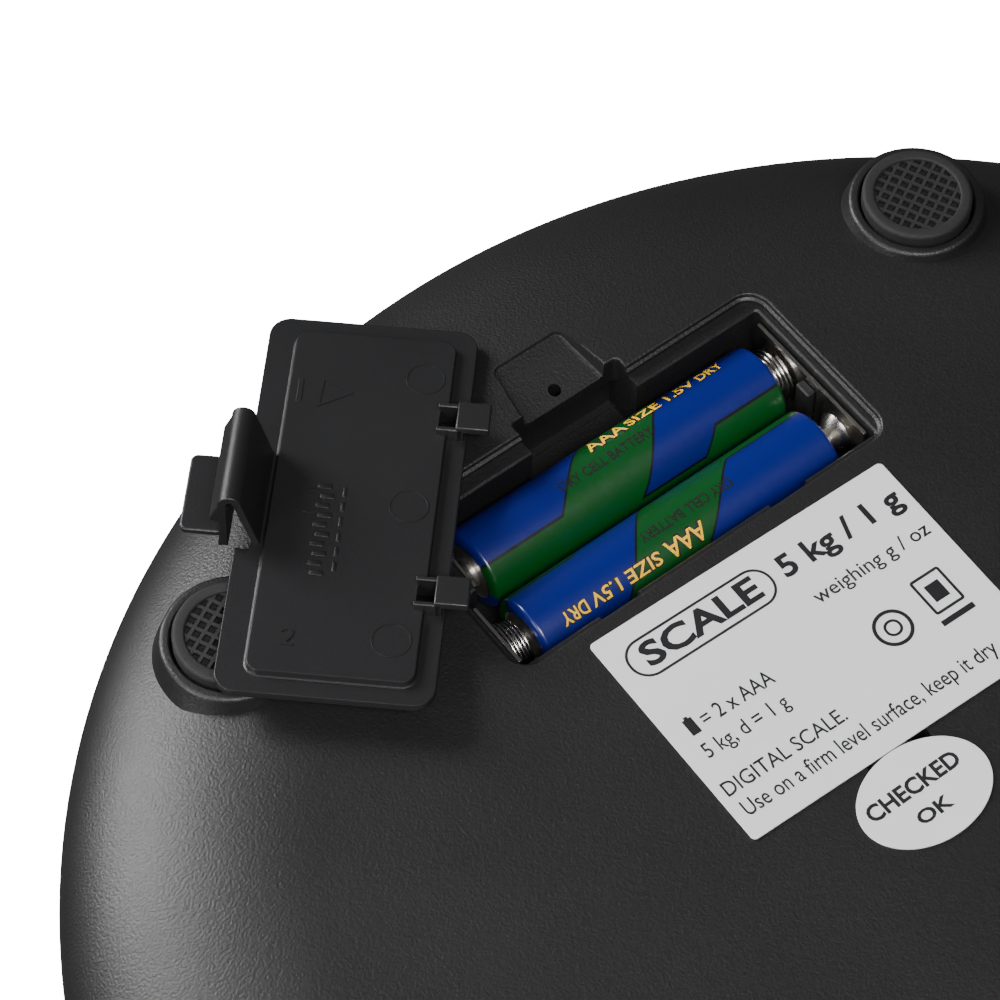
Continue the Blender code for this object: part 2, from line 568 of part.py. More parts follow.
def screw(name, x, y, seat, head, head_radius, shank_radius, end, up=True):
    """A pan-head screw; up means that its head points to +Z."""
    sign = 1 if up else -1
    length = abs(seat - end)
    made = turned(name, [
        (0, head), (head_radius * 0.7, head), (head_radius, head * 0.6), (head_radius, 0), (shank_radius, 0),
        (shank_radius, -length + shank_radius), (shank_radius * 0.4, -length), (0, -length)], 16, ZINC)
    made.location = (x, y, seat)
    made.rotation_euler = (0 if sign > 0 else math.pi, 0, 0)


def screws():
    for i, (x, y) in enumerate(FOOT_PLACES, 1):
        screw(f"housing_screw_{i}", x, y, SCREW_SEAT_Z + GAP, HOUSING_SCREW_HEAD, HOUSING_SCREW_HEAD_RADIUS,
              HOUSING_SCREW_RADIUS, HOUSING_SCREW_END_Z)
    for i, place_y in enumerate((BAR_SCREW_NEAR, BAR_SCREW_FAR), 1):
        screw(f"load_cell_screw_{i}", 0, place_y, BAR_SEAT_Z + GAP, BAR_SCREW_HEAD, BAR_SCREW_HEAD_RADIUS,
              BAR_SCREW_RADIUS, CELL_BAR_Z + GAP)
        screw(f"platform_screw_{i}", 0, -place_y, FRAME_SEAT_Z - GAP, BAR_SCREW_HEAD, BAR_SCREW_HEAD_RADIUS,
              BAR_SCREW_RADIUS, CELL_BAR_TOP_Z - GAP, up=False)
    for i, side in enumerate((-1, 1), 1):
        screw(f"board_screw_{i}", side * BOARD_POST[0], BOARD_POST[1], BOARD_Z + BOARD_THICKNESS + GAP,
              BOARD_SCREW_HEAD, BOARD_SCREW_HEAD_RADIUS,
              BOARD_SCREW_RADIUS, FACE_Z + WALL + 3 * GAP)


def feet():
    for i, (x, y) in enumerate(FOOT_PLACES, 1):
        pad_z = FOOT_HEIGHT - FOOT_PAD_DEPTH
        foot = turned(f"foot_{i}", [
            (0, pad_z), (FOOT_PAD_RADIUS, pad_z), (FOOT_PAD_RADIUS + FOOT_EDGE / 2, FOOT_HEIGHT),
            (FOOT_RADIUS - FOOT_EDGE, FOOT_HEIGHT), (FOOT_RADIUS, FOOT_HEIGHT - FOOT_EDGE),
            (FOOT_RADIUS, FOOT_EDGE), (FOOT_RADIUS - FOOT_EDGE, 0), (0, 0)], 24, RUBBER)
        foot.location = (x, y, FOOT_BASE_Z)


def dry_cell(name, x, y, positive):
    """An AAA cell along X; positive is the side that its terminal points to."""
    half = AAA_JACKET / 2
    edge = AAA_EDGE
    cell = turned(name, [
        (0, half + AAA_NUB), (AAA_NUB_RADIUS, half + AAA_NUB), (AAA_NUB_RADIUS, half), (AAA_RADIUS - edge,
            half),
        (AAA_RADIUS, half - edge), (AAA_RADIUS, -half + edge), (AAA_RADIUS - edge, -half), (0,
            -half)], 24, JACKET)
    cell.location = (x, y, AAA_AXIS_Z)
    cell.rotation_euler = (0, positive * math.pi / 2, 0)


def contacts():
    low = WELL_Z + GAP
    half = PLATE_HALF_WIDTH
    bridge = box("contact_bridge", (PLATE_INNER_X, CELL_2_Y - half, low),
                 (PLATE_INNER_X + PLATE, CELL_1_Y + half, PLATE_TOP_Z),
                 PLATED)
    positive = box("contact_positive", (STEP_X + GAP, CELL_1_Y - half, low),
                   (STEP_X + GAP + PLATE, CELL_1_Y + half, PLATE_TOP_Z),
                   PLATED)
    box("contact_negative", (-PLATE_INNER_X - PLATE, CELL_2_Y - half, low),
        (-PLATE_INNER_X, CELL_2_Y + half, PLATE_TOP_Z), PLATED)
    combine(bridge, "add", "UNION", [rod_along_x(
        "bridge_dimple", CELL_2_RIGHT + GAP, PLATE_INNER_X + PLATE / 2, CELL_2_Y, AAA_AXIS_Z, DIMPLE_TIP,
        end_radius=DIMPLE_ROOT_BRIDGE)])
    combine(positive, "add", "UNION", [rod_along_x(
        "positive_dimple", STEP_X + GAP + PLATE / 2, CELL_1_LEFT - GAP, CELL_1_Y, AAA_AXIS_Z, DIMPLE_ROOT_POSITIVE,
        end_radius=DIMPLE_TIP)])


def wire(name, points, radius, finish, resolution=2):
    """A round wire through the points, with closed ends."""
    curve = bpy.data.curves.new(name, "CURVE")
    curve.dimensions = "3D"
    curve.bevel_depth = radius
    curve.bevel_resolution = resolution
    curve.use_fill_caps = True
    spline = curve.splines.new("POLY")
    spline.points.add(len(points) - 1)
    for point, where in zip(spline.points, points):
        point.co = (*where, 1)
    obj = bpy.data.objects.new(name, curve)
    PARTS.objects.link(obj)
    curve.materials.append(finish)


def coil_spring(name, start, end, y, turns):
    """A conical contact spring along X, from its small end at the cell to its large end at the plate."""
    direction = 1 if end > start else -1
    start += direction * (GAP + SPRING_WIRE)
    end -= direction * (GAP + SPRING_WIRE)
    points = []
    for i in range(turns * SPRING_POINTS + 1):
        share = i / (turns * SPRING_POINTS)
        radius = SPRING_SMALL + (SPRING_LARGE - SPRING_SMALL) * share
        angle = 2 * math.pi * i / SPRING_POINTS
        points.append((start + (end - start) * share, y + radius * math.cos(angle),
                       AAA_AXIS_Z + radius * math.sin(angle)))
    wire(name, points, SPRING_WIRE, PLATED, 1)


def smooth_route(stops, steps=4):
    """Catmull-Rom points through the stops of a wire."""
    ends = [2 * Vector(stops[0]) - Vector(stops[1]), *map(Vector, stops),
            2 * Vector(stops[-1]) - Vector(stops[-2])]
    for a, b, c, d in zip(ends, ends[1:], ends[2:], ends[3:]):
        for i in range(steps):
            t = i / steps
            yield 0.5 * (2 * b + (c - a) * t + (2 * a - 5 * b + 4 * c - d) * t * t
                         + (3 * b - a - 3 * c + d) * t ** 3)
    yield Vector(stops[-1])


def wires():
    """Leads from the battery contacts and the load cell to the circuit board."""
    board = BOARD_Z + BOARD_THICKNESS
    radius = LEAD_RADIUS
    above = board + radius + GAP
    end_y = BOARD_Y[1] - 0.002
    left = -RIM_HALF_X - RIM_WALL - radius - GAP
    wire("battery_lead_red", list(smooth_route([
        (left, CELL_1_Y, AAA_AXIS_Z), (left - 0.004, CELL_1_Y - 0.012, AAA_AXIS_Z - 0.003), (-0.037, 0.023, 0.027),
        (-0.042, -0.009, 0.024), (-0.039, -0.042, 0.0195), (-0.026, -0.064, 0.0165), (-0.022, end_y, above)])),
        radius, RED_WIRE)
    wire("battery_lead_black", list(smooth_route([
        (left, CELL_2_Y, AAA_AXIS_Z), (left - 0.003, CELL_2_Y - 0.008, AAA_AXIS_Z - 0.003), (-0.034, 0.020, 0.027),
        (-0.039, -0.009, 0.024), (-0.036, -0.040, 0.0195), (-0.022, -0.062, 0.0165), (-0.018, end_y, above)])),
        radius, BLACK_WIRE)
    edge = CELL_BAR.x / 2 + GAP
    wire("load_cell_cable", list(smooth_route([
        (edge + CABLE_RADIUS, CELL_BAR.y / 2 - 0.004, CELL_BAR_Z + 0.003), (0.0135, 0.011, 0.0233), (0.0205, -0.009, 0.0205),
        (0.0205, -0.037, 0.0177), (0.0095, -0.061, 0.0160), (0.006, end_y, board + CABLE_RADIUS + GAP)])),
        CABLE_RADIUS, GREY_WIRE)


def electronics():
    floor = FACE_Z + WALL + GAP
    box("lcd_window", (-WINDOW_HALF.x, DISPLAY_Y - WINDOW_HALF.y, FACE_Z),
        (WINDOW_HALF.x, DISPLAY_Y + WINDOW_HALF.y, FACE_Z + WINDOW_THICKNESS), CLEAR)
    glass = WINDOW_HALF - LCD_MARGIN
    box("lcd_glass", (-glass.x, DISPLAY_Y - glass.y, floor),
        (glass.x, DISPLAY_Y + glass.y, floor + LCD_THICKNESS), LCD_GREY)
    holder = box("lcd_holder", (-glass.x - HOLDER_WALL.x, DISPLAY_Y - glass.y - HOLDER_WALL.y, floor),
                 (glass.x + HOLDER_WALL.x, DISPLAY_Y + glass.y + HOLDER_WALL.y, BOARD_Z - GAP), DARK_PLASTIC)
    combine(holder, "cut", "DIFFERENCE", [box(
        "holder_opening", (-glass.x - GAP, DISPLAY_Y - glass.y - GAP, floor - CUT),
        (glass.x + GAP, DISPLAY_Y + glass.y + GAP, BOARD_Z + CUT))])
    strip_low = DISPLAY_Y - glass.y + 0.0004
    box("zebra_strip", (-glass.x + 0.001, strip_low, floor + LCD_THICKNESS + GAP),
        (glass.x - 0.001, strip_low + ZEBRA_WIDTH, BOARD_Z - GAP), SILICONE)

    board = box("circuit_board", (-BOARD_HALF_X, BOARD_Y[0], BOARD_Z),
                (BOARD_HALF_X, BOARD_Y[1], BOARD_Z + BOARD_THICKNESS),
                BOARD_GREEN)
    combine(board, "cut", "DIFFERENCE", [
        rod(f"board_screw_hole_{side}", side * BOARD_POST[0], BOARD_POST[1], BOARD_Z - CUT,
            BOARD_Z + BOARD_THICKNESS + CUT,
            BOARD_SCREW_RADIUS + GAP, segments=12) for side in (-1, 1)])
    top = BOARD_Z + BOARD_THICKNESS + GAP
    rod("chip_blob", BLOB_X, DISPLAY_Y, top, top + BLOB_HEIGHT, BLOB_RADIUS, EPOXY, 20, BLOB_TOP_RADIUS)

    seat = BOARD_Z - GAP
    for name, side in (("tare", -1), ("unit", 1)):
        x = side * BUTTON_X
        switch = box(f"{name}_switch", (x - SWITCH_HALF, DISPLAY_Y - SWITCH_HALF, seat - SWITCH_BODY),
                     (x + SWITCH_HALF, DISPLAY_Y + SWITCH_HALF, seat), DARK_PLASTIC)
        combine(switch, "add", "UNION", [rod(
            f"{name}_stem", x, DISPLAY_Y, seat - SWITCH_BODY - SWITCH_STEM, seat - SWITCH_BODY + CUT / 2,
            SWITCH_STEM_RADIUS, segments=12)])
        low = FACE_Z - BUTTON_PROUD
        flange = FACE_Z + WALL + GAP
        high = seat - SWITCH_BODY - SWITCH_STEM - BUTTON_TRAVEL - GAP / 3
        turned(f"{name}_button", [
            (0, low), (BUTTON_RADIUS - 0.0004, low), (BUTTON_RADIUS, low + 0.0004), (BUTTON_RADIUS, flange),
            (BUTTON_RADIUS + BUTTON_FLANGE, flange), (BUTTON_RADIUS + BUTTON_FLANGE, high), (0,
                high)], 24, DARK_PLASTIC
        ).location = (x, DISPLAY_Y, 0)


def stickers():
    low = FLAT_Z + STICKER_GAP
    label = box("rating_label", (-LABEL_SIZE[0] / 2, -LABEL_SIZE[1] / 2, 0),
                (LABEL_SIZE[0] / 2, LABEL_SIZE[1] / 2, STICKER), PAPER)
    label.location = (*LABEL_CENTRE, low)
    label.rotation_euler = (0, 0, LABEL_TURN)
    bm = bmesh.new()
    bmesh.ops.create_cone(bm, cap_ends=True, segments=40, radius1=1, radius2=1, depth=STICKER,
                          matrix=Matrix.Translation((0, 0, STICKER / 2)))
    bmesh.ops.scale(bm, vec=(*OVAL_HALF, 1), verts=bm.verts)
    place("check_sticker", to_mesh("check_sticker", bm), PAPER).location = (*OVAL_CENTRE, low)


def empty(name, parent=None):
    made = bpy.data.objects.new(name, None)
    PARTS.objects.link(made)
    made.parent = parent
    return made


def underside_height(x, y):
    """Height of the housing, or of a foot, under a point."""
    for foot in FOOT_PLACES:
        away = math.hypot(x - foot[0], y - foot[1])
        if away <= FOOT_RADIUS:
            return FOOT_TOP_Z
        if away <= BOSS_RADIUS:
            return FLAT_Z + BOSS_RISE
    beyond = max(0, math.hypot(x, y) - FLAT_RADIUS) / (BODY_RADIUS - FLAT_RADIUS)
    return WIDEST_Z + (FLAT_Z - WIDEST_Z) * math.sqrt(max(0, 1 - beyond ** 2))


def cover_rest():
    """Where the cover lies, outer face down: on a foot at one end and on the rim at the other."""
    turn = (Matrix.Rotation(COVER_REST_TURN, 4, "Z") @ Matrix.Rotation(-COVER_TILT_ALONG, 4, "Y")
            @ Matrix.Rotation(math.pi - COVER_TILT_ACROSS, 4, "X"))
    steps = 40
    height = 0
    for i in range(-steps, steps + 1):
        for j in range(-steps, steps + 1):
            under = turn @ Vector((COVER_HALF_X * i / steps, COVER_HALF_Y * j / steps, 0))
            top = underside_height(COVER_REST_X + under.x, COVER_REST_Y + under.y)
            height = max(height, top + GAP - under.z)
    seat = empty("cover_place")
    seat.matrix_world = Matrix.Translation((COVER_REST_X, COVER_REST_Y, height)) @ turn
    return seat


def battery_cover(seat):
    """Plate, raised inner panel, two hooks and the latch's inner leg, with Z = 0 at the outer face."""
    inner = -COVER_THICKNESS
    cover = rounded_box("battery_cover", (-COVER_HALF_X, -COVER_HALF_Y, inner),
                        (COVER_HALF_X, COVER_HALF_Y, 0), COVER_CORNER,
                        DARK_PLASTIC, seat)
    panel = rounded_box("cover_panel",
                        (-COVER_HALF_X + PANEL_INSET, -COVER_HALF_Y + PANEL_INSET, inner - PANEL_RISE),
                        (COVER_HALF_X - PANEL_INSET, COVER_HALF_Y - LATCH_PANEL_INSET,
                         inner / 2), COVER_CORNER / 2, None, seat, 2)
    root = COVER_HALF_Y - LATCH_ROOT_INSET
    bend = LATCH_DEPTH - LATCH_BAND
    added = [panel, prism("latch_inner_leg", [
        (root, inner / 2), (root + LATCH_BAND, inner / 2), (root + LATCH_SLANT + LATCH_BAND,
            -bend + LATCH_BAND),
        (OUTER_LEG_Y - GAP, -bend), (OUTER_LEG_Y - GAP, -LATCH_DEPTH), (root + LATCH_SLANT + LATCH_BAND / 2,
            -LATCH_DEPTH),
        (root + LATCH_SLANT, -bend + LATCH_BAND / 2)], LATCH_HALF_WIDTH, None, seat)]
    edge = -COVER_HALF_Y
    for side in (-1, 1):
        hook = prism(f"hook_{side}", [
            (edge + HOOK_LEG, inner / 2), (edge + HOOK_LEG, -HOOK_DROP - HOOK_TOE), (edge - HOOK_REACH,
                -HOOK_DROP - HOOK_TOE),
            (edge - HOOK_REACH, -HOOK_DROP), (edge + 0.0004, -HOOK_DROP), (edge + 0.0004, inner / 2)],
            HOOK_HALF_WIDTH, None, seat)
        hook.location.x = side * HOOK_X
        added.append(hook)
    combine(cover, "add", "UNION", added)
    notch = LATCH_HALF_WIDTH + 2 * SLIDE_GAP
    combine(cover, "cut", "DIFFERENCE", [box(
        "latch_notch", (-notch, COVER_HALF_Y - LATCH_NOTCH + OFF_PLANE, inner - 0.0005), (notch,
            COVER_HALF_Y + CUT, CUT), None, seat)])

    hinge = empty("latch_bend", seat)
    hinge.location = (0, OUTER_LEG_Y, -LATCH_DEPTH + LATCH_BAND / 2)
    up = LATCH_DEPTH - LATCH_BAND / 2
    tab = up - LATCH_TAB_DEPTH
    catch = up - CATCH_DEPTH - SLIDE_GAP
    latch = prism("cover_latch", [
        (0, -LATCH_BAND / 2), (LATCH_BAND, -LATCH_BAND / 4), (LATCH_BAND,
            catch - BARB_LENGTH), (LATCH_BAND + LATCH_BARB, catch - 0.0006),
        (LATCH_BAND + LATCH_BARB, catch), (LATCH_BAND, catch), (LATCH_BAND, tab), (0,
            tab)], LATCH_HALF_WIDTH, DARK_PLASTIC, hinge)
    combine(latch, "add", "UNION", [box(
        "finger_tab", (-LATCH_TAB_HALF_WIDTH, 0.0002, tab - LATCH_BAND), (LATCH_TAB_HALF_WIDTH,
            LATCH_BAND + LATCH_TAB_LENGTH, tab - OFF_PLANE),
        None, hinge)])


base_shell()
upper_shell()
weighing_platform()
load_cell()
screws()
feet()
dry_cell("cell_1", CELL_1_X, CELL_1_Y, -1)
dry_cell("cell_2", CELL_2_X, CELL_2_Y, 1)
contacts()
coil_spring("spring_1", CELL_1_RIGHT, PLATE_INNER_X, CELL_1_Y, 4)
coil_spring("spring_2", CELL_2_LEFT, -PLATE_INNER_X, CELL_2_Y, 5)
wires()
electronics()
stickers()
battery_cover(cover_rest())

for obj in PARTS.objects:
    if obj.type == "MESH":
        obj.data.shade_smooth()
        obj.data.set_sharp_from_angle(angle=math.radians(35))
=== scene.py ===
"""Looks of a round digital kitchen scale, lying upside down with its battery compartment open."""

import math

import bmesh
import bpy
from mathutils import Matrix, Vector

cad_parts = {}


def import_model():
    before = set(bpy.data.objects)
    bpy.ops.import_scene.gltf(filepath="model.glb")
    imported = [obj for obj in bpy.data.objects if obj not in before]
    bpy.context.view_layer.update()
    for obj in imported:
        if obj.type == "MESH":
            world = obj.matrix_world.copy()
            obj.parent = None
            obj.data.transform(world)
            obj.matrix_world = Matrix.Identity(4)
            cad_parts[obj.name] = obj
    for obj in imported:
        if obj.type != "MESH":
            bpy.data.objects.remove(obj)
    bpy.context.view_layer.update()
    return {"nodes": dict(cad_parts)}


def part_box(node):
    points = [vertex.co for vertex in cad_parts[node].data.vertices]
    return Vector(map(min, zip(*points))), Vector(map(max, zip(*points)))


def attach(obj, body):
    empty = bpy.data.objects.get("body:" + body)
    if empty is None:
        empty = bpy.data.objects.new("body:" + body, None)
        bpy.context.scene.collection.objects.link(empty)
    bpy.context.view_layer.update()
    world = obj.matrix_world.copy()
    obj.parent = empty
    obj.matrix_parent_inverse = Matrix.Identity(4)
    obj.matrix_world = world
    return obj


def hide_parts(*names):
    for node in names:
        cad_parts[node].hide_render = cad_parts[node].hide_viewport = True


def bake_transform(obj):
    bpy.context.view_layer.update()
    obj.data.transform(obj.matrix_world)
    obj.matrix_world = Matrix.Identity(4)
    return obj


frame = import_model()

bl_info = {
    "name": "Kitchen scale looks",
    "version": (1, 0, 0),
    "blender": (4, 5, 0),
    "location": "View3D > Sidebar > Scale",
    "description": "Builds the visible pieces of an upturned kitchen scale",
    "category": "Object",
}

# Housing, in metres
BODY_RADIUS = 0.0987
FLAT_RADIUS = 0.0698
FLAT_Z = 0.0386
WIDEST_Z = 0.0233
PARTING_Z = 0.0168
PARTING_GAP = 0.0003
SIDE_DRAFT = 0.0003
WALL = 0.0022
FACE_Z = 0.0037
FACE_RADIUS = 0.0907
WELL_FLOOR_Z = 0.0089
PLATFORM_RADIUS = 0.0652
PLATFORM_WELL_RADIUS = 0.0670
CENTRE_OPENING = 0.034
ROUND_STEPS = 224
OVER = 0.002              # how far a cutter runs past a face

# Battery compartment
RIM_Y = 0.0542
RIM_HALF = (0.0271, 0.01275)
RIM_CORNER = 0.0028
RIM_DEPTH = 0.0014
RIM_WALL = 0.0013
WELL_Z = 0.02565
WELL_HALF_X = 0.0260
WELL_LOW_Y = 0.04265
WELL_HIGH_Y = 0.06475
LANE_STEP_X = -0.02405
LANE_SPLIT_Y = 0.0537
POCKET_HALF_X = 0.0078
POCKET_Y = 0.06875
POCKET_Z = 0.0281
CATCH_Z = 0.0342
LATCH_BARB = 0.0010
THUMB_Y = 0.0722
THUMB_HALF = (0.0062, 0.0042)
THUMB_CORNER = 0.0012
THUMB_DEPTHS = (0.0026, 0.0008)    # beside the latch and at the far side
THUMB_NARROWING = 0.20
THUMB_BLOCK = ((-0.0072, WELL_HIGH_Y + 0.001, FLAT_Z - 0.0050), (0.0072, 0.0782, FLAT_Z - 0.0018))
PIN_HOLE = (0.0, 0.0705, 0.0008)
LANE_CORNER = 0.0004
RIB = ((0.0245, 0.0535), (0.0006, 0.0011), 0.0352)    # between the cells: centre, half size, top
HOOK_X = 0.0124
HOOK_NOTCH_HALF = 0.0028
HOOK_Z = 0.0360

# Feet
FOOT_PLACES = ((0.0506, 0.0644), (-0.0506, 0.0644), (-0.0506, -0.0644), (0.0506, -0.0644))
FOOT_RADIUS = 0.0067
FOOT_TOP_Z = 0.0409
FOOT_BASE_Z = 0.0354
FOOT_PAD_RADIUS = 0.0052
FOOT_PAD_DEPTH = 0.0008
BOSS_RADIUS = 0.0083
BOSS_Z = 0.0395
BOSS_ROUNDING = 0.0006
SCREW_SEAT_Z = 0.0328
SCREW_HEAD_WELL = 0.0033
SCREW_HOLE = 0.0016
SCREW_HOLE_END_Z = 0.0082
POST_RADIUS = 0.0042

# Load-cell seat of the base shell
CELL_PAD = ((-0.006, 0.0040, 0.0296), (0.006, 0.0220, FLAT_Z - WALL / 2 - 0.0002))
BAR_SCREW_YS = (0.0086, 0.0174)
BAR_SEAT_Z = 0.0343
COUNTERBORE_RADIUS = 0.0042
BAR_BORE = (0.00175, 0.0270, 0.0350)    # radius and the two heights

# Cells, springs and contacts
CELL_RADIUS = 0.00515
CELL_HALF = 0.02175
CELL_Z = 0.0311
CELL_1 = (0.0008, 0.0592)
CELL_2 = (0.0002, 0.0482)
PLATE_X = 0.0252
PLATE_THICKNESS = 0.0005
PLATE_HALF = 0.0044
PLATE_Z = (0.02595, 0.0361)
POSITIVE_X = -0.02375
SPRING_WIRE = 0.0002
SPRING_RADII = (0.0026, 0.0037)

# Cover, with Z = 0 on its outer face and its inner side at -Z
COVER_HALF = (0.0267, 0.01235)
COVER_THICKNESS = 0.0012
COVER_CORNER = 0.0025
PANEL_Z = -0.0021
COVER_PLACE = (-0.0304, 0.0695, 0.040256)
COVER_TURN = math.radians(-132.5)
COVER_TILTS = (math.radians(4.3), math.radians(0.6))
LATCH_HALF = 0.0066
TAB_HALF = 0.0054
LATCH_ROOT_Y = 0.00935
BEND = (0.01275, -0.0079, 0.0004, 0.0014)    # y, z, inner and outer radius
MOULD_NUMBER_PLACE = (0.0196, 0.0047)
NUMBER_HEIGHT_FACTOR = 8
# Ejector marks: place and radius
PIN_MARKS = ((-0.0184, -0.0068, 0.0022), (0.0002, -0.0068, 0.0022), (0.0188, -0.0068, 0.0022),
             (0.0006, 0.0044, 0.0016))

# Print on the cells, in millimetres along and degrees round; a leaning edge is its place along,
# the angle at which it has that place, and its lean for each degree
PATCH_LEFT = (-10.3, 120.0, 0.088)
PATCH_RIGHT = (7.2, 60.0, 0.070)
PATCH_STEP = (12.3, 124.0, 0.075)
BLUE_ENDS = (121.0, 164.0, 129.5)
DEGREE_WIDTH = 0.09
OUTLINE = (0.15, 0.22)
TURNED_PRINT = 7.0        # how much further round the turned cell's print lies

# Stickers
OVAL_STEPS = 96
LABEL_PLACE = (0.0015, 0.0239)
LABEL_HALF = (0.02105, 0.01515)
LABEL_TURN = math.radians(-1.4)
OVAL_PLACE = (-0.0012, 0.0026)
OVAL_HALF = (0.0084, 0.0061)
STICKER_Z = 0.0387
STICKER = 0.00015
PRINT = 0.00002           # thickness of printed ink

# Hidden side
WINDOW = (0.0, -0.0798, 0.019, 0.0075)
BUTTON_X = 0.0275
BUTTON_Y = -0.0798
BUTTON_RADIUS = 0.0045
BUTTON_GAP = 0.0004
BOARD_POST = (0.0318, WINDOW[1] + 0.0065)
BOARD_POST_RADIUS = 0.0023
BOARD_SEAT_Z = 0.0119
BOARD_HOLE = 0.0013

# Stage
LENS = 135.7
CAMERA_PLACE = (-0.156219, -0.124285, 0.404885)
CAMERA_AIM = (-0.015231, 0.061102, 0.0386365)
COVE = (2.4, 0.9, 2.6)    # where the floor starts to rise, radius of that curve, height of the dome over it
PAINTED_CONTACT_SHADOW = (0.078, 0.108)    # painted shadow round the scale: the floor's glow darkens within these distances from the centre


class Value:
    """A shader value that takes ordinary sums."""

    def __init__(self, finish, socket):
        self.finish = finish
        self.socket = socket

    def _sum(self, operation, *others):
        node = self.finish.node("ShaderNodeMath", {"operation": operation},
                                dict(enumerate((self, *others))))
        return Value(self.finish, node.outputs[0])

    def __add__(self, other):
        return self._sum("ADD", other)

    def __radd__(self, other):
        return self._sum("ADD", other)

    def __sub__(self, other):
        return self._sum("SUBTRACT", other)

    def __rsub__(self, other):
        return Value(self.finish, self.finish.node(
            "ShaderNodeMath", {"operation": "SUBTRACT"}, {0: other, 1: self}).outputs[0])

    def __mul__(self, other):
        return self._sum("MULTIPLY", other)

    def __rmul__(self, other):
        return self._sum("MULTIPLY", other)

    def lower(self, other):
        return self._sum("MINIMUM", other)

    def higher(self, other):
        return self._sum("MAXIMUM", other)

    def above(self, other):
        return self._sum("GREATER_THAN", other)

    def size(self):
        return self._sum("ABSOLUTE")

    def angle_to(self, other):
        return self._sum("ARCTAN2", other)

    def root(self):
        return self._sum("SQRT")

    def fraction(self):
        return self._sum("FRACT")


class Finish:
    """A procedural material under construction."""

    def __init__(self, name, **constants):
        self.material = bpy.data.materials.new(name)
        self.material.use_nodes = True
        self.tree = self.material.node_tree
        self.shader = self.tree.nodes["Principled BSDF"]
        for key, value in constants.items():
            self.shader.inputs[key.replace("_", " ").title()].default_value = value

    def node(self, kind, settings=None, inputs=None):
        """One node: its settings first, then its inputs, as values or as links."""
        made = self.tree.nodes.new(kind)
        for key, value in (settings or {}).items():
            setattr(made, key, value)
        for key, value in (inputs or {}).items():
            self.join(made.inputs[key], value)
        return made

    def join(self, socket, value):
        value = value.socket if isinstance(value, Value) else value
        if isinstance(value, bpy.types.NodeSocket):
            self.tree.links.new(value, socket)
        else:
            socket.default_value = value

    def place(self):
        """Object coordinates, as a vector and as three values."""
        vector = self.node("ShaderNodeTexCoord").outputs["Object"]
        split = self.node("ShaderNodeSeparateXYZ", None, {0: vector})
        return vector, [Value(self, out) for out in split.outputs]

    def noise(self, scale, detail=2.0, vector=None):
        vector = vector or self.place()[0]
        made = self.node("ShaderNodeTexNoise", None, {"Vector": vector, "Scale": scale, "Detail": detail})
        return Value(self, made.outputs["Fac"])

    def range(self, value, low, high, to_low=0.0, to_high=1.0):
        made = self.node("ShaderNodeMapRange", {"interpolation_type": "SMOOTHSTEP"},
                         {0: value, 1: low, 2: high, 3: to_low, 4: to_high})
        return Value(self, made.outputs[0])

    def mix(self, factor, first, second):
        """Two colours mixed."""
        made = self.node("ShaderNodeMix", {"data_type": "RGBA"}, {0: factor, 6: first, 7: second})
        return made.outputs[2]

    def bump(self, height, distance, strength=1.0):
        made = self.node("ShaderNodeBump", None,
                         {"Height": height, "Distance": distance, "Strength": strength})
        self.join(self.shader.inputs["Normal"], made.outputs[0])

    def set(self, name, value):
        self.join(self.shader.inputs[name], value)


def solid(colour):
    return (*colour[:3], 1.0)


def shade(colour, factor):
    return (*[channel * factor for channel in colour[:3]], 1.0)


def moulded(name, colour, roughness, grain, depth):
    """Moulded plastic: an even eroded grain, with a slight change of gloss over the part."""
    made = Finish(name)
    vector, _ = made.place()
    fine = made.noise(1 / grain, 3.0, vector)
    broad = made.noise(45.0, 2.0, vector)
    made.set("Base Color", made.mix(fine, shade(colour, 0.86), shade(colour, 1.14)))
    made.set("Roughness", roughness + (broad - 0.5) * 0.10 + (fine - 0.5) * 0.10)
    made.bump(fine, depth)
    return made.material


def metal(name, colour, roughness, streak_scale, depth=0.000004):
    """Plated or milled metal with fine streaks and a little tarnish."""
    made = Finish(name, metallic=1.0)
    vector, _ = made.place()
    stretched = made.node("ShaderNodeMapping", None, {"Vector": vector, "Scale": streak_scale})
    streaks = made.noise(900.0, 3.0, stretched.outputs[0])
    cloud = made.noise(160.0, 3.0, vector)
    made.set("Base Color", made.mix(cloud, shade(colour, 0.88), shade(colour, 1.06)))
    made.set("Roughness", roughness + (streaks - 0.5) * 0.16 + (cloud - 0.5) * 0.08)
    made.bump(streaks, depth)
    return made.material


def rubber(name, colour):
    made = Finish(name)
    vector, _ = made.place()
    fine = made.noise(5200.0, 3.0, vector)
    dust = made.range(made.noise(700.0, 4.0, vector), 0.55, 0.80)
    made.set("Base Color", made.mix(dust * 0.5, solid(colour), shade(colour, 2.2)))
    made.set("Roughness", 0.74 + (fine - 0.5) * 0.2)
    made.bump(fine, 0.00003)
    return made.material


def paper(name, colour):
    made = Finish(name)
    vector, _ = made.place()
    fibre = made.noise(2600.0, 4.0, vector)
    cloud = made.noise(90.0, 2.0, vector)
    made.set("Base Color", made.mix(cloud, shade(colour, 0.96), shade(colour, 1.03)))
    made.set("Roughness", 0.42 + (fibre - 0.5) * 0.16)
    made.bump(fibre, 0.000008)
    return made.material


def ink(name, colour):
    made = Finish(name)
    fine = made.noise(6000.0, 2.0)
    made.set("Base Color", made.mix(fine, shade(colour, 0.7), shade(colour, 1.5)))
    made.set("Roughness", 0.46 + (fine - 0.5) * 0.2)
    return made.material


def insulation(name, colour):
    made = Finish(name, coat_weight=0.2)
    fine = made.noise(1400.0, 3.0)
    made.set("Base Color", made.mix(fine, shade(colour, 0.85), shade(colour, 1.15)))
    made.set("Roughness", 0.38 + (fine - 0.5) * 0.12)
    made.bump(fine, 0.000012)
    return made.material


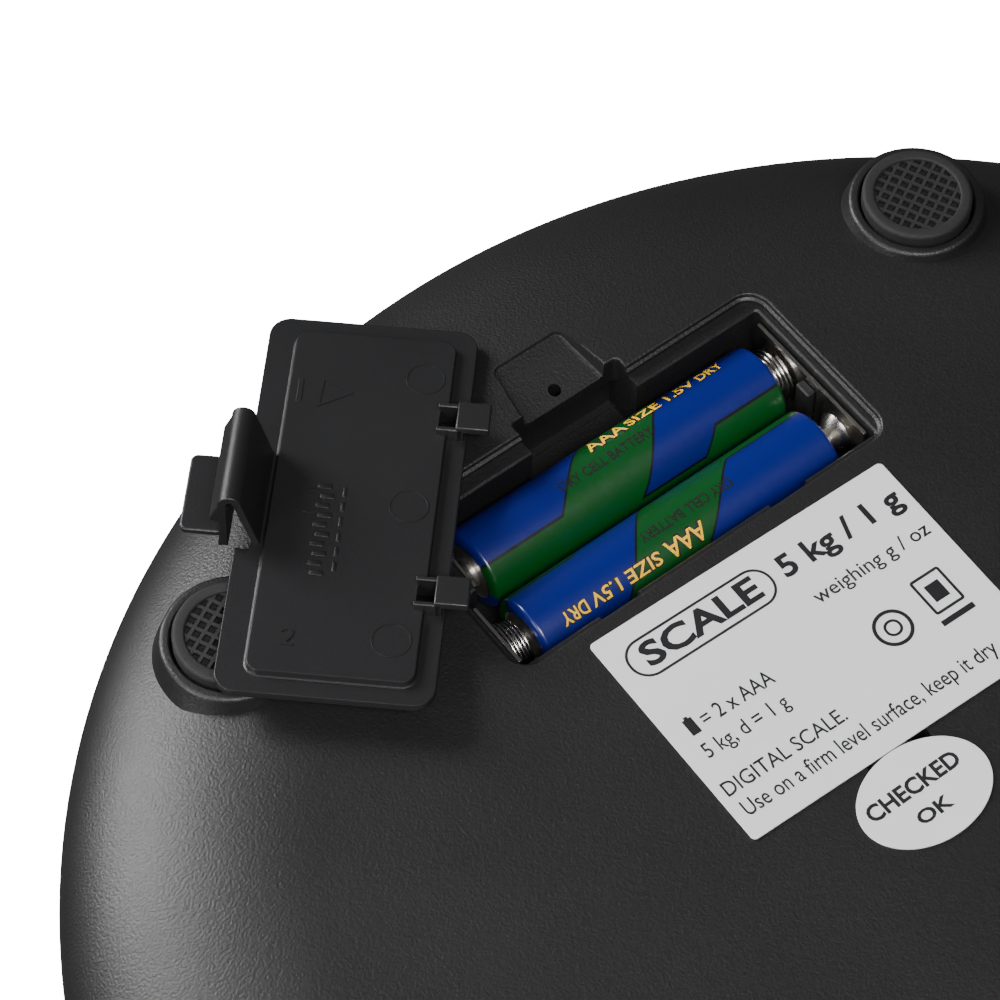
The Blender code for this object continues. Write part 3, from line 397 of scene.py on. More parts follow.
def board_finish(name, colour):
    """Solder mask over copper tracks, with bare pads."""
    made = Finish(name, coat_weight=0.3)
    vector, (x, y, _) = made.place()
    wander = made.noise(220.0, 1.0, vector)
    wave = ((x * 900.0 + y * 260.0 + wander * 3.0).fraction() - 0.5).size()
    track = made.range(wave, 0.18, 0.24, 1.0, 0.0)
    dots = made.node("ShaderNodeTexVoronoi", None, {"Vector": vector, "Scale": 260.0})
    pad = made.range(Value(made, dots.outputs["Distance"]), 0.14, 0.18, 1.0, 0.0)
    mask = made.mix(track, solid(colour), shade(colour, 1.9))
    made.set("Base Color", made.mix(pad, mask, (0.62, 0.60, 0.55, 1.0)))
    made.set("Metallic", pad)
    made.set("Roughness", 0.36 - pad * 0.08)
    made.bump(track * 0.6 + pad, 0.00002)
    return made.material


def glassy(name, colour, coat, cells):
    """A tinted window or a display behind glass, with faint segments under it."""
    made = Finish(name, coat_weight=coat)
    vector, (x, _, _) = made.place()
    bars = made.range(((x * cells).fraction() - 0.5).size(), 0.30, 0.34)
    cloud = made.noise(60.0, 2.0, vector)
    made.set("Base Color", made.mix(bars * 0.25, solid(colour), shade(colour, 0.6)))
    made.set("Roughness", 0.10 + cloud * 0.08)
    return made.material


def sleeve(name, look, centre, turned_round):
    """The cell's printed film: a blue ground with a green patch that steps round it, black outlines between.

    A cell that points the other way carries the same print, turned end for end.
    """
    made = Finish(name, coat_weight=0.4, coat_roughness=0.10)
    vector, (x, y, z) = made.place()
    sign = -1.0 if turned_round else 1.0
    along = (x - centre[0]) * (1000.0 * sign)
    around = (z - CELL_Z).angle_to((y - centre[1]) * sign) * math.degrees(1.0)
    if turned_round:
        around = around - TURNED_PRINT

    def past(place, angle, lean):
        """How far a point lies beyond a leaning edge, towards the right."""
        return along - ((angle - around) * lean + place)

    def before(angle):
        return (angle - around) * DEGREE_WIDTH

    right = past(*PATCH_RIGHT)
    blue = (-1.0 * past(*PATCH_LEFT)).lower(before(BLUE_ENDS[0]))
    blue = blue.higher(right.lower(before(BLUE_ENDS[1])).lower(-1.0 * past(*PATCH_STEP)))
    blue = blue.higher(right.lower(before(BLUE_ENDS[2])))
    line = made.range(blue.size(), *OUTLINE, 1.0, 0.0)
    fine = made.noise(1800.0, 2.0, vector)
    ground = made.mix(blue.above(0.0), solid(look.patch_colour), solid(look.cell_colour))
    ground = made.mix(fine * 0.18, ground, shade(look.cell_colour, 0.6))
    made.set("Base Color", made.mix(line, ground, (0.004, 0.004, 0.005, 1.0)))
    made.set("Roughness", 0.30 + fine * 0.08)
    made.bump(made.noise(420.0, 2.0, vector), 0.00003)
    return made.material


# Meshes

def link(name, mesh, materials=()):
    obj = bpy.data.objects.new(name, mesh)
    bpy.context.scene.collection.objects.link(obj)
    for item in materials:
        mesh.materials.append(item)
    return obj


def finish_mesh(name, bm):
    bmesh.ops.recalc_face_normals(bm, faces=bm.faces)
    mesh = bpy.data.meshes.new(name)
    bm.to_mesh(mesh)
    bm.free()
    return mesh


def ring(centre, half, corner, height, steps=8):
    """Points round a rectangle with round corners."""
    corner = max(corner, 0.00002)
    for side_x, side_y, first in ((1, 1, 0), (-1, 1, 90), (-1, -1, 180), (1, -1, 270)):
        for i in range(steps + 1):
            turn = math.radians(first + 90 * i / steps)
            yield Vector((centre[0] + side_x * (half[0] - corner) + corner * math.cos(turn),
                          centre[1] + side_y * (half[1] - corner) + corner * math.sin(turn), height))


def circle(centre, radius, height, steps):
    for i in range(steps):
        turn = 2 * math.pi * i / steps
        yield Vector((centre[0] + radius * math.cos(turn), centre[1] + radius * math.sin(turn), height))


def loft(rings, closed=False):
    """A closed body through rings of points, capped unless the last ring joins the first."""
    bm = bmesh.new()
    rows = [[bm.verts.new(point) for point in points] for points in rings]
    pairs = list(zip(rows, rows[1:])) + ([(rows[-1], rows[0])] if closed else [])
    for low, high in pairs:
        for i in range(len(low)):
            j = (i + 1) % len(low)
            bm.faces.new((low[i], low[j], high[j], high[i]))
    if not closed:
        bm.faces.new(rows[0][::-1])
        bm.faces.new(rows[-1])
    return bm


def slab(name, centre, half, corner, levels, steps=8):
    """A loft of round-cornered rectangles; levels are (grown by, height)."""
    rings = [ring(centre, (half[0] + grown, half[1] + grown), corner + grown, height, steps)
             for grown, height in levels]
    return link(name, finish_mesh(name, loft(rings)))


def turned(name, profile, centre=(0, 0), steps=48, closed=False):
    """A (radius, height) profile turned about an upright axis."""
    rings = [circle(centre, max(radius, 0.00001), height, steps) for radius, height in profile]
    return link(name, finish_mesh(name, loft(rings, closed)))


def plug(name, centre, radius, low, high, steps=32):
    """An upright cylinder between two heights."""
    return turned(name, [(0, low), (radius, low), (radius, high), (0, high)], centre, steps)


def mouth(depth, edge, top):
    """Levels of an opening whose edge is rounded where it meets the surface."""
    levels = [(0.0, top - depth)]
    for i in range(5):
        turn = math.radians(180 - 18 * i)
        levels.append((edge + edge * math.cos(turn), top - edge + edge * math.sin(turn)))
    return levels + [(edge, top - 0.000002), (edge + 0.0004, top + OVER)]


def box(name, low, high):
    centre = ((low[0] + high[0]) / 2, (low[1] + high[1]) / 2)
    half = ((high[0] - low[0]) / 2, (high[1] - low[1]) / 2)
    return slab(name, centre, half, 0.00015, [(0, low[2]), (0, high[2])], 2)


def quarter(centre, radii, start, end, count):
    for i in range(count + 1):
        turn = math.radians(start + (end - start) * i / count)
        yield centre[0] + radii[0] * math.cos(turn), centre[1] + radii[1] * math.sin(turn)


def carve(target, operation, tools):
    """One exact Boolean of the target with all the tools, which are used up."""
    group = bpy.data.collections.new(target.name + "_tools")
    bpy.context.scene.collection.children.link(group)
    for tool in tools:
        group.objects.link(tool)
        bpy.context.scene.collection.objects.unlink(tool)
    cut = target.modifiers.new("cut", "BOOLEAN")
    cut.operation = operation
    cut.solver = "EXACT"
    cut.operand_type = "COLLECTION"
    cut.collection = group
    settle(target)
    for tool in tools:
        bpy.data.objects.remove(tool, do_unlink=True)
    bpy.data.collections.remove(group)
    return target


def settle(obj):
    """Turns the object and its modifiers into a plain mesh."""
    graph = bpy.context.evaluated_depsgraph_get()
    mesh = bpy.data.meshes.new_from_object(obj.evaluated_get(graph), depsgraph=graph)
    mesh.name = obj.name
    obj.modifiers.clear()
    obj.data = mesh
    if not mesh.polygons:
        raise RuntimeError(f"{obj.name} came out empty")
    return obj


def soften(obj, width, segments=3, angle=30):
    """Rounds the sharp edges of a small piece."""
    bevel = obj.modifiers.new("edges", "BEVEL")
    bevel.width = width
    bevel.segments = segments
    bevel.limit_method = "ANGLE"
    bevel.angle_limit = math.radians(angle)
    return settle(obj)


def smooth(obj, angle=35):
    bm = bmesh.new()
    bm.from_mesh(obj.data)
    bmesh.ops.remove_doubles(bm, verts=bm.verts, dist=0.0000005)
    bmesh.ops.dissolve_degenerate(bm, edges=bm.edges, dist=0.0000005)
    bm.to_mesh(obj.data)
    bm.free()
    obj.data.shade_smooth()
    obj.data.set_sharp_from_angle(angle=math.radians(angle))
    even = obj.modifiers.new("even", "WEIGHTED_NORMAL")
    even.keep_sharp = True
    return settle(obj)


def join(name, objs):
    """One mesh of several objects, with the first one's materials first."""
    bm = bmesh.new()
    materials = []
    for obj in objs:
        obj.data.transform(obj.matrix_world)
        start = len(materials)
        materials += list(obj.data.materials)
        before = len(bm.faces)
        bm.from_mesh(obj.data)
        bm.faces.ensure_lookup_table()
        for face in bm.faces[before:]:
            face.material_index += start
        bpy.data.objects.remove(obj, do_unlink=True)
    mesh = bpy.data.meshes.new(name)
    bm.to_mesh(mesh)
    bm.free()
    return link(name, mesh, materials)


def piece(obj, name, body, materials, replaced=()):
    """Names a finished piece, gives it its finish and its place in the assembly."""
    obj.name = obj.data.name = name
    if list(obj.data.materials) != list(materials):
        obj.data.materials.clear()
        for item in materials:
            obj.data.materials.append(item)
    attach(obj, body)
    if replaced:
        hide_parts(*replaced)
    return obj


def paint(names, material):
    """Gives nodes that keep their own mesh a finish."""
    for name in names:
        mesh = frame["nodes"][name].data
        mesh.materials.clear()
        mesh.materials.append(material)


def letters(text, size, centre, turn=0.0, width=None, swell=0.006):
    """Thin printed text as a mesh, centred on a place."""
    curve = bpy.data.curves.new("print", "FONT")
    curve.body = text
    curve.size = size
    curve.align_x = "CENTER"
    curve.align_y = "CENTER"
    curve.resolution_u = 3
    curve.extrude = PRINT / 2
    curve.offset = size * swell
    obj = link("print", curve)
    bpy.context.view_layer.update()
    graph = bpy.context.evaluated_depsgraph_get()
    mesh = bpy.data.meshes.new_from_object(obj.evaluated_get(graph), depsgraph=graph)
    bpy.data.objects.remove(obj, do_unlink=True)
    if width:
        xs = [vertex.co.x for vertex in mesh.vertices]
        mesh.transform(Matrix.Scale(width / (max(xs) - min(xs)), 4, (1, 0, 0)))
    mesh.materials.clear()
    mesh.transform(Matrix.Translation((*centre, 0)) @ Matrix.Rotation(turn, 4, "Z"))
    return link("print", mesh)


def frame_of(centre, half, corner, width):
    """A printed outline: a rounded rectangle of ink."""
    outer = [list(ring(centre, half, corner, height)) for height in (-PRINT / 2, PRINT / 2)]
    inside = (half[0] - width, half[1] - width)
    inner = [list(ring(centre, inside, corner - width, height)) for height in (PRINT / 2, -PRINT / 2)]
    return link("print", finish_mesh("print", loft(outer + inner, closed=True)))


def bar(centre, half):
    return slab("print", centre, half, 0.00005, [(0, -PRINT / 2), (0, PRINT / 2)], 2)


# Pieces

def housing(look):
    outer = [(0, FLAT_Z)] + [(r, FLAT_Z) for r in (0.02, 0.04, 0.06, FLAT_RADIUS - 0.0006)]
    outer += quarter((FLAT_RADIUS, WIDEST_Z), (BODY_RADIUS - FLAT_RADIUS, FLAT_Z - WIDEST_Z), 90, 0, 40)
    side = BODY_RADIUS - SIDE_DRAFT
    low = PARTING_Z + PARTING_GAP / 2
    outer += [(side, low + 0.0003), (side - 0.00025, low)]
    inner = [(side - WALL, low)]
    inner += quarter((FLAT_RADIUS, WIDEST_Z),
                     (BODY_RADIUS - FLAT_RADIUS - WALL, FLAT_Z - WIDEST_Z - WALL), 0, 90, 16)
    body = turned("housing", outer + inner + [(0, FLAT_Z - WALL)], steps=ROUND_STEPS)
    carve(body, "UNION", housing_blocks(low))
    carve(body, "DIFFERENCE", compartment_cuts(look.edge_rounding) + screw_cuts())
    centre, half, top = RIB
    rib = slab("rib", centre, half, 0.0002, [(0, WELL_Z - 0.0005), (0, top - 0.0002), (-0.0002, top)], 3)
    black = moulded("matt_black_plastic", look.housing_colour, 0.46, look.grain, 0.00007)
    return piece(smooth(join("housing", [body, rib])), "housing", "base", [black], ["base_shell"])


def housing_blocks(low):
    """What the shell carries inside: the compartment's walls, the foot bosses and the screw posts."""
    skin = FLAT_Z - WALL / 2
    added = [
        slab("block", (0, RIM_Y), (RIM_HALF[0] + RIM_WALL, RIM_HALF[1] + RIM_WALL), RIM_CORNER,
             [(0, WELL_Z - RIM_WALL), (0, skin)]),
        box("latch_block", (-POCKET_HALF_X - RIM_WALL, WELL_HIGH_Y, POCKET_Z - RIM_WALL),
            (POCKET_HALF_X + RIM_WALL, POCKET_Y + LATCH_BARB + 0.0017, skin - 0.0001)),
        box("thumb_block", *THUMB_BLOCK),
        box("pad", *CELL_PAD),
    ]
    rounding = BOSS_ROUNDING
    for x, y in FOOT_PLACES:
        boss = [(0, SCREW_SEAT_Z - WALL), (BOSS_RADIUS - 0.0004, SCREW_SEAT_Z - WALL),
                (BOSS_RADIUS + 0.0009, BOSS_Z - 0.0034)]
        boss += quarter((BOSS_RADIUS - rounding, BOSS_Z - rounding), (rounding, rounding), 0, 90, 5)
        added.append(turned("boss", boss + [(0, BOSS_Z)], (x, y), 72))
        added.append(plug("post", (x, y), POST_RADIUS, low, SCREW_SEAT_Z))
    return added


def lane(x0, x1, y0, y1):
    """The cutter of one cell's lane."""
    floor = FLAT_Z - RIM_DEPTH
    return slab("lane", ((x0 + x1) / 2, (y0 + y1) / 2), ((x1 - x0) / 2, (y1 - y0) / 2), LANE_CORNER,
                [(0, WELL_Z), (0, floor - 0.00025), (0.00025, floor), (0.00027, floor + 0.0006)])


def compartment_cuts(edge):
    """Cutters of the compartment, its stepped rim, the latch pocket, the hook notches and the thumb scoop."""
    rim = [(-0.00035, FLAT_Z - RIM_DEPTH), (-0.00035, FLAT_Z - 0.0008), (-0.00010, FLAT_Z - 0.00066)]
    pocket_low = WELL_HIGH_Y - 0.0005
    cuts = [
        lane(LANE_STEP_X, WELL_HALF_X, LANE_SPLIT_Y - 0.0001, WELL_HIGH_Y),
        lane(-WELL_HALF_X, WELL_HALF_X, WELL_LOW_Y, LANE_SPLIT_Y + 0.0002),
        slab("rim", (0, RIM_Y), RIM_HALF, RIM_CORNER, rim + mouth(RIM_DEPTH - 0.0008, edge, FLAT_Z)),
        slab("pocket", (0, (pocket_low + POCKET_Y) / 2), (POCKET_HALF_X, (POCKET_Y - pocket_low) / 2), 0.0006,
             mouth(FLAT_Z - POCKET_Z, edge, FLAT_Z)),
        box("undercut", (-POCKET_HALF_X, POCKET_Y - 0.0005, POCKET_Z + 0.0002),
            (POCKET_HALF_X, POCKET_Y + LATCH_BARB, CATCH_Z)),
        thumb_recess(edge),
        plug("pin_hole", PIN_HOLE[:2], PIN_HOLE[2], CATCH_Z - 0.0015, FLAT_Z + OVER, 24),
    ]
    y = RIM_Y - RIM_HALF[1]
    for x in (-HOOK_X, HOOK_X):
        left, right = x - HOOK_NOTCH_HALF, x + HOOK_NOTCH_HALF
        cuts.append(box("window", (left, y - RIM_WALL - OVER, HOOK_Z - 0.0014),
                        (right, WELL_LOW_Y + 0.0005, HOOK_Z + 0.0004)))
        cuts.append(box("notch", (left, y + 0.0002, HOOK_Z), (right, WELL_LOW_Y + 0.0004, FLAT_Z - 0.0009)))
    return cuts


def screw_cuts():
    """Cutters over the load cell's screws and of the foot wells with the screw seats under them."""
    cuts = []
    for y in BAR_SCREW_YS:
        cuts.append(plug("counterbore", (0, y), COUNTERBORE_RADIUS, BAR_SEAT_Z, FLAT_Z + OVER, 48))
        cuts.append(plug("bore", (0, y), *BAR_BORE))
    well = FOOT_RADIUS + 0.0003
    low = FOOT_BASE_Z - 0.0003
    for place in FOOT_PLACES:
        cuts.append(turned("foot_well", [
            (0, low), (well, low), (well, BOSS_Z - 0.0002), (well + 0.0002, BOSS_Z),
            (well + 0.0004, BOSS_Z + OVER), (0, BOSS_Z + OVER)], place, 72))
        cuts.append(plug("seat", place, SCREW_HEAD_WELL, SCREW_SEAT_Z, FOOT_BASE_Z + 0.001))
        cuts.append(plug("hole", place, SCREW_HOLE, PARTING_Z - OVER, SCREW_SEAT_Z + 0.001, 24))
    return cuts


def thumb_recess(edge):
    """A scoop beside the latch, narrower and shallower away from the compartment."""
    low_y = THUMB_Y - THUMB_HALF[1]
    floor = [(-0.0008, 1.0), (-0.0002, 0.9)]    # grown by, share of the depth
    rings = []
    for i, (grown, height) in enumerate(floor + mouth(0.0003, edge, FLAT_Z)[1:]):
        half = (THUMB_HALF[0] + grown, THUMB_HALF[1] + grown)
        points = list(ring((0, THUMB_Y), half, THUMB_CORNER + grown, height))
        for point in points:
            share = min(max((point.y - low_y) / (2 * THUMB_HALF[1]), 0), 1)
            point.x *= 1 - THUMB_NARROWING * share
            if i < len(floor):
                near, far = THUMB_DEPTHS
                point.z = FLAT_Z - height * (near + (far - near) * share)
        rings.append(points)
    return link("thumb", finish_mesh("thumb", loft(rings)))


def top_housing(look):
    top = PARTING_Z - PARTING_GAP / 2
    side = BODY_RADIUS - SIDE_DRAFT
    rise = top - FACE_Z
    well = PLATFORM_WELL_RADIUS
    profile = [(side - 0.00025, top), (side, top - 0.0003)]
    profile += quarter((FACE_RADIUS, top), (side - FACE_RADIUS, rise), -4, -90, 24)
    profile += [(0.080, FACE_Z), (well + 0.0004, FACE_Z), (well, FACE_Z + 0.0004), (well, WELL_FLOOR_Z),
                (CENTRE_OPENING, WELL_FLOOR_Z), (CENTRE_OPENING, WELL_FLOOR_Z + WALL),
                (well + WALL, WELL_FLOOR_Z + WALL), (well + WALL, FACE_Z + WALL)]
    profile += quarter((FACE_RADIUS, top), (side - FACE_RADIUS - WALL, rise - WALL), -90, 0, 12)
    body = turned("top_housing", profile, steps=ROUND_STEPS, closed=True)
    inside = FACE_Z + WALL / 2
    boards = [(side_x * BOARD_POST[0], BOARD_POST[1]) for side_x in (-1, 1)]
    added = [plug("post", place, POST_RADIUS, inside, top) for place in FOOT_PLACES]
    added += [plug("board_post", place, BOARD_POST_RADIUS, inside, BOARD_SEAT_Z, 24) for place in boards]
    carve(body, "UNION", added)
    through = (FACE_Z - OVER, FACE_Z + WALL + OVER)
    removed = [
        slab("recess", WINDOW[:2], (WINDOW[2] + 0.0004, WINDOW[3] + 0.0004), 0.0008,
             [(0, FACE_Z - OVER), (0, FACE_Z + 0.0017)]),
        slab("view", WINDOW[:2], (WINDOW[2] - 0.0026, WINDOW[3] - 0.0026), 0.0005,
             [(0, height) for height in through]),
    ]
    removed += [plug("hole", place, SCREW_HOLE, SCREW_HOLE_END_Z, top + OVER, 24) for place in FOOT_PLACES]
    for side_x, place in zip((-1, 1), boards):
        removed.append(plug("button_hole", (side_x * BUTTON_X, BUTTON_Y), BUTTON_RADIUS + BUTTON_GAP,
                            *through, 48))
        removed.append(plug("board_hole", place, BOARD_HOLE, FACE_Z + WALL + 0.0003, 0.0142, 24))
    carve(body, "DIFFERENCE", removed)
    black = moulded("matt_black_plastic_top", look.housing_colour, 0.50, look.grain, 0.00006)
    return piece(smooth(body), "top_housing", "base", [black], ["upper_shell"])


def weighing_disc(look):
    radius = PLATFORM_RADIUS
    profile = [(0, 0)] + [(r, 0) for r in (0.02, 0.04, 0.06)]
    profile += [(radius - 0.0008 + 0.0008 * math.cos(t), 0.0008 + 0.0008 * math.sin(t))
                for t in [math.radians(a) for a in range(-90, 1, 15)]]
    profile += [(radius, 0.0065), (radius - WALL, 0.0065), (radius - WALL, 0.0024), (0, 0.0024)]
    disc = turned("weighing_disc", profile, steps=ROUND_STEPS)
    satin = moulded("satin_black_plastic", look.cover_colour, 0.40, 0.0002, 0.00002)
    return piece(smooth(disc), "weighing_disc", "platform_group", [satin], ["platform"])


def tree(name, inputs):
    """A node tree with named inputs, the last of them its material."""
    made = bpy.data.node_groups.new(name, "GeometryNodeTree")
    made.interface.new_socket("Geometry", in_out="INPUT", socket_type="NodeSocketGeometry")
    for label, kind, value in inputs:
        made.interface.new_socket(label, in_out="INPUT", socket_type=kind).default_value = value
    made.interface.new_socket("Material", in_out="INPUT", socket_type="NodeSocketMaterial")
    made.interface.new_socket("Geometry", in_out="OUTPUT", socket_type="NodeSocketGeometry")
    made.nodes.new("NodeGroupInput")
    made.nodes.new("NodeGroupOutput")
    return made


def add_node(group, kind, settings=None, inputs=None):
    made = group.nodes.new(kind)
    for key, value in (settings or {}).items():
        setattr(made, key, value)
    for key, value in (inputs or {}).items():
        if isinstance(value, bpy.types.NodeSocket):
            group.links.new(value, made.inputs[key])
        else:
            made.inputs[key].default_value = value
    return made


def end_tree(group, geometry):
    """Realizes the instances, sets the material and ends the tree."""
    real = add_node(group, "GeometryNodeRealizeInstances", None, {0: geometry}).outputs[0]
    given = group.nodes["Group Input"].outputs
    done = add_node(group, "GeometryNodeSetMaterial", None, {"Geometry": real, "Material": given["Material"]})
    group.links.new(done.outputs[0], group.nodes["Group Output"].inputs[0])
    return group


def rib_tree():
    """Straight ribs both ways across a round pad, each as long as the pad is wide at that place."""
    group = tree("pad_ribs", [("Count", "NodeSocketInt", 8), ("Radius", "NodeSocketFloat", 0.005),
                              ("Width", "NodeSocketFloat", 0.0003), ("Height", "NodeSocketFloat", 0.0005)])
    given = group.nodes["Group Input"].outputs

    def maths(operation, a, b=0.0):
        return add_node(group, "ShaderNodeMath", {"operation": operation}, {0: a, 1: b}).outputs[0]

    spacing = maths("DIVIDE", maths("MULTIPLY", given["Radius"], 2.0), maths("ADD", given["Count"], 1.0))
    first = maths("SUBTRACT", spacing, given["Radius"])
    start = add_node(group, "ShaderNodeCombineXYZ", None, {0: first}).outputs[0]
    offset = add_node(group, "ShaderNodeCombineXYZ", None, {0: spacing}).outputs[0]
    line = add_node(group, "GeometryNodeMeshLine", {"mode": "OFFSET"},
                    {"Count": given["Count"], "Start Location": start, "Offset": offset}).outputs[0]
    where = add_node(group, "GeometryNodeInputPosition").outputs[0]
    x = add_node(group, "ShaderNodeSeparateXYZ", None, {0: where}).outputs[0]
    chord = maths("SQRT", maths("SUBTRACT", maths("MULTIPLY", given["Radius"], given["Radius"]),
                                maths("MULTIPLY", x, x)))
    size = add_node(group, "ShaderNodeCombineXYZ", None,
                    {0: given["Width"], 1: maths("MULTIPLY", chord, 2.0), 2: given["Height"]}).outputs[0]
    cube = add_node(group, "GeometryNodeMeshCube", None, {"Size": (1.0, 1.0, 1.0)}).outputs[0]
    spread = add_node(group, "GeometryNodeInstanceOnPoints", None,
                      {"Points": line, "Instance": cube, "Scale": size}).outputs[0]
    solid_ribs = add_node(group, "GeometryNodeRealizeInstances", None, {0: spread}).outputs[0]
    across = add_node(group, "GeometryNodeTransform", None,
                      {"Geometry": solid_ribs, "Rotation": (0.0, 0.0, math.pi / 2),
                       "Scale": (1.0, 1.0, 0.97)}).outputs[0]
    both = add_node(group, "GeometryNodeJoinGeometry")
    group.links.new(solid_ribs, both.inputs[0])
    group.links.new(across, both.inputs[0])
    return end_tree(group, both.outputs[0])


def coil_tree():
    """A conical coil of round wire standing on its large end."""
    group = tree("contact_coil", [("Turns", "NodeSocketFloat", 4.0), ("Length", "NodeSocketFloat", 0.002),
                                  ("Small End", "NodeSocketFloat", 0.0026),
                                  ("Large End", "NodeSocketFloat", 0.0037),
                                  ("Wire", "NodeSocketFloat", 0.0002)])
    given = group.nodes["Group Input"].outputs
    spiral = add_node(group, "GeometryNodeCurveSpiral", None,
                      {"Resolution": 48, "Rotations": given["Turns"], "Start Radius": given["Large End"],
                       "End Radius": given["Small End"], "Height": given["Length"]}).outputs[0]
    around = add_node(group, "GeometryNodeCurvePrimitiveCircle", None,
                      {"Resolution": 14, "Radius": given["Wire"]}).outputs[0]
    swept = add_node(group, "GeometryNodeCurveToMesh", None,
                     {"Curve": spiral, "Profile Curve": around, "Fill Caps": True}).outputs[0]
    return end_tree(group, swept)


def grow(name, group, values):
    """A plain mesh made by a node tree with these named values."""
    obj = link(name, bpy.data.meshes.new(name))
    modifier = obj.modifiers.new("grow", "NODES")
    modifier.node_group = group
    for item in group.interface.items_tree:
        if item.in_out == "INPUT" and item.name in values:
            modifier[item.identifier] = values[item.name]
    bpy.context.view_layer.update()
    return settle(obj)


def feet(look):
    black = rubber("black_rubber", look.foot_colour)
    ribs = rib_tree()
    pad_z = FOOT_TOP_Z - FOOT_PAD_DEPTH
    for i, (x, y) in enumerate(FOOT_PLACES, 1):
        low = FOOT_BASE_Z
        profile = [(0, low), (FOOT_RADIUS - 0.0004, low), (FOOT_RADIUS, low + 0.0004)]
        profile += quarter((FOOT_RADIUS - 0.0005, FOOT_TOP_Z - 0.0005), (0.0005, 0.0005), 0, 90, 5)
        profile += quarter((FOOT_PAD_RADIUS + 0.00025, FOOT_TOP_Z - 0.00025), (0.00025, 0.00025), 90, 180, 4)
        profile += [(FOOT_PAD_RADIUS, pad_z), (0, pad_z)]
        foot = turned("foot", profile, (x, y), 72)
        pattern = grow("ribs", ribs, {"Count": look.rib_count, "Radius": FOOT_PAD_RADIUS + 0.0001,
                                      "Width": 0.00042, "Height": 0.00075, "Material": black})
        pattern.data.transform(Matrix.Translation((x, y, pad_z + 0.0002)) @ Matrix.Rotation(0.45, 4, "Z"))
        foot = join("foot", [foot, pattern])
        piece(smooth(foot), f"rubber_foot_{i}", "base", [black], [f"foot_{i}"])


def wrapped(text, size, width, start, angle, centre, turned_round, finish, swell=0.03, lift=0.000012):
    """Printed text laid round a cell: start is where it begins along the cell, angle its middle."""
    flat = letters(text, size, (0, 0), width=width, swell=swell)
    bm = bmesh.new()
    bm.from_mesh(flat.data)
    bpy.data.objects.remove(flat, do_unlink=True)
    step = 0.0003
    level = -size
    while level < size:
        bmesh.ops.bisect_plane(bm, geom=bm.verts[:] + bm.edges[:] + bm.faces[:], dist=1e-9,
                               plane_co=(0, level, 0), plane_no=(0, 1, 0))
        level += step
    sign = -1 if turned_round else 1
    for vertex in bm.verts:
        radius = CELL_RADIUS + lift + vertex.co.z
        around = math.radians(angle) - sign * vertex.co.y / CELL_RADIUS
        x = centre[0] + start + sign * (vertex.co.x + width / 2)
        vertex.co = (x, centre[1] + radius * math.cos(around), CELL_Z + radius * math.sin(around))
    mesh = bpy.data.meshes.new("print")
    bm.to_mesh(mesh)
    bm.free()
    mesh.materials.append(finish)
    return link("print", mesh)


def dry_cells(look):
    nickel = metal("cell_nickel", (0.52, 0.50, 0.46), 0.34, (1, 1, 1))
    yellow = ink("yellow_ink", look.print_colour)
    black = ink("black_ink", (0.006, 0.006, 0.006))
    for number, (centre, flipped) in enumerate(((CELL_1, False), (CELL_2, True)), 1):
        film = sleeve(f"cell_film_{number}", look, centre, flipped)
        half = CELL_HALF
        radius = CELL_RADIUS
        profile = [(0, half + 0.0010), (0.0016, half + 0.0010), (0.0019, half + 0.0007),
                   (0.0019, half + 0.00015), (0.0024, half + 0.00005), (0.0036, half),
                   (0.0036, half + 0.00012), (0.0042, half + 0.00016)]
        profile += quarter((radius - 0.0007, half - 0.0006), (0.0007, 0.0006), 82, 0, 7)
        profile += [(radius, half - 0.004), (radius, half / 2), (radius, 0), (radius, -half / 2),
                    (radius, -half + 0.004)]
        profile += quarter((radius - 0.0007, -half + 0.0006), (0.0007, 0.0006), 0, -82, 7)
        profile += [(0.0042, -half - 0.00002), (0.0036, -half), (0.0036, -half + 0.0002),
                    (0.0015, -half + 0.0001), (0, -half + 0.0001)]
        cell = turned("cell", [(r, min(h, half + 0.001)) for r, h in profile], steps=112)
        cell.data.materials.append(film)
        cell.data.materials.append(nickel)
        for face in cell.data.polygons:
            far = max((Vector(cell.data.vertices[i].co).xy.length for i in face.vertices))
            face.material_index = int(far < 0.00365)
        facing = math.pi / 2 if flipped else -math.pi / 2
        cell.data.transform(Matrix.Translation((*centre, CELL_Z)) @ Matrix.Rotation(facing, 4, "Y"))
        cell = smooth(cell)
        if flipped:
            angle, row = 122.0, ((0.0026, "AAA"), (-0.0039, "SIZE"), (-0.0096, "1.5V"), (-0.0145, "DRY"))
            small = ("DRY CELL BATTERY", 0.0019, 0.0134, 0.0087, 89.0)
        else:
            angle, row = 55.0, ((-0.0017, "AAA"), (0.0042, "SIZE"), (0.0099, "1.5V"), (0.0148, "DRY"))
            small = ("DRY CELL BATTERY", 0.0019, 0.0137, -0.0079, 89.0)
        line = (0, centre[1])
        prints = [wrapped(*small, line, flipped, black, 0.02)]
        for start, text in row:
            size = 0.0031 if text == "AAA" else 0.0023
            width = {"AAA": 0.0056, "SIZE": 0.0049, "1.5V": 0.0041, "DRY": 0.0036}[text]
            for finish, swell, lift in ((black, 0.075, 0.000011), (yellow, 0.012, 0.000026)):
                prints.append(wrapped(text, size, width, start, angle, line, flipped, finish, swell, lift))
        prints = join("prints", prints)
        body = f"cell_{number}"
        finishes = list(cell.data.materials)
        piece(cell, f"aaa_cell_{number}", body, finishes, [f"cell_{number}"])
        piece(prints, f"cell_print_{number}", body, list(prints.data.materials))


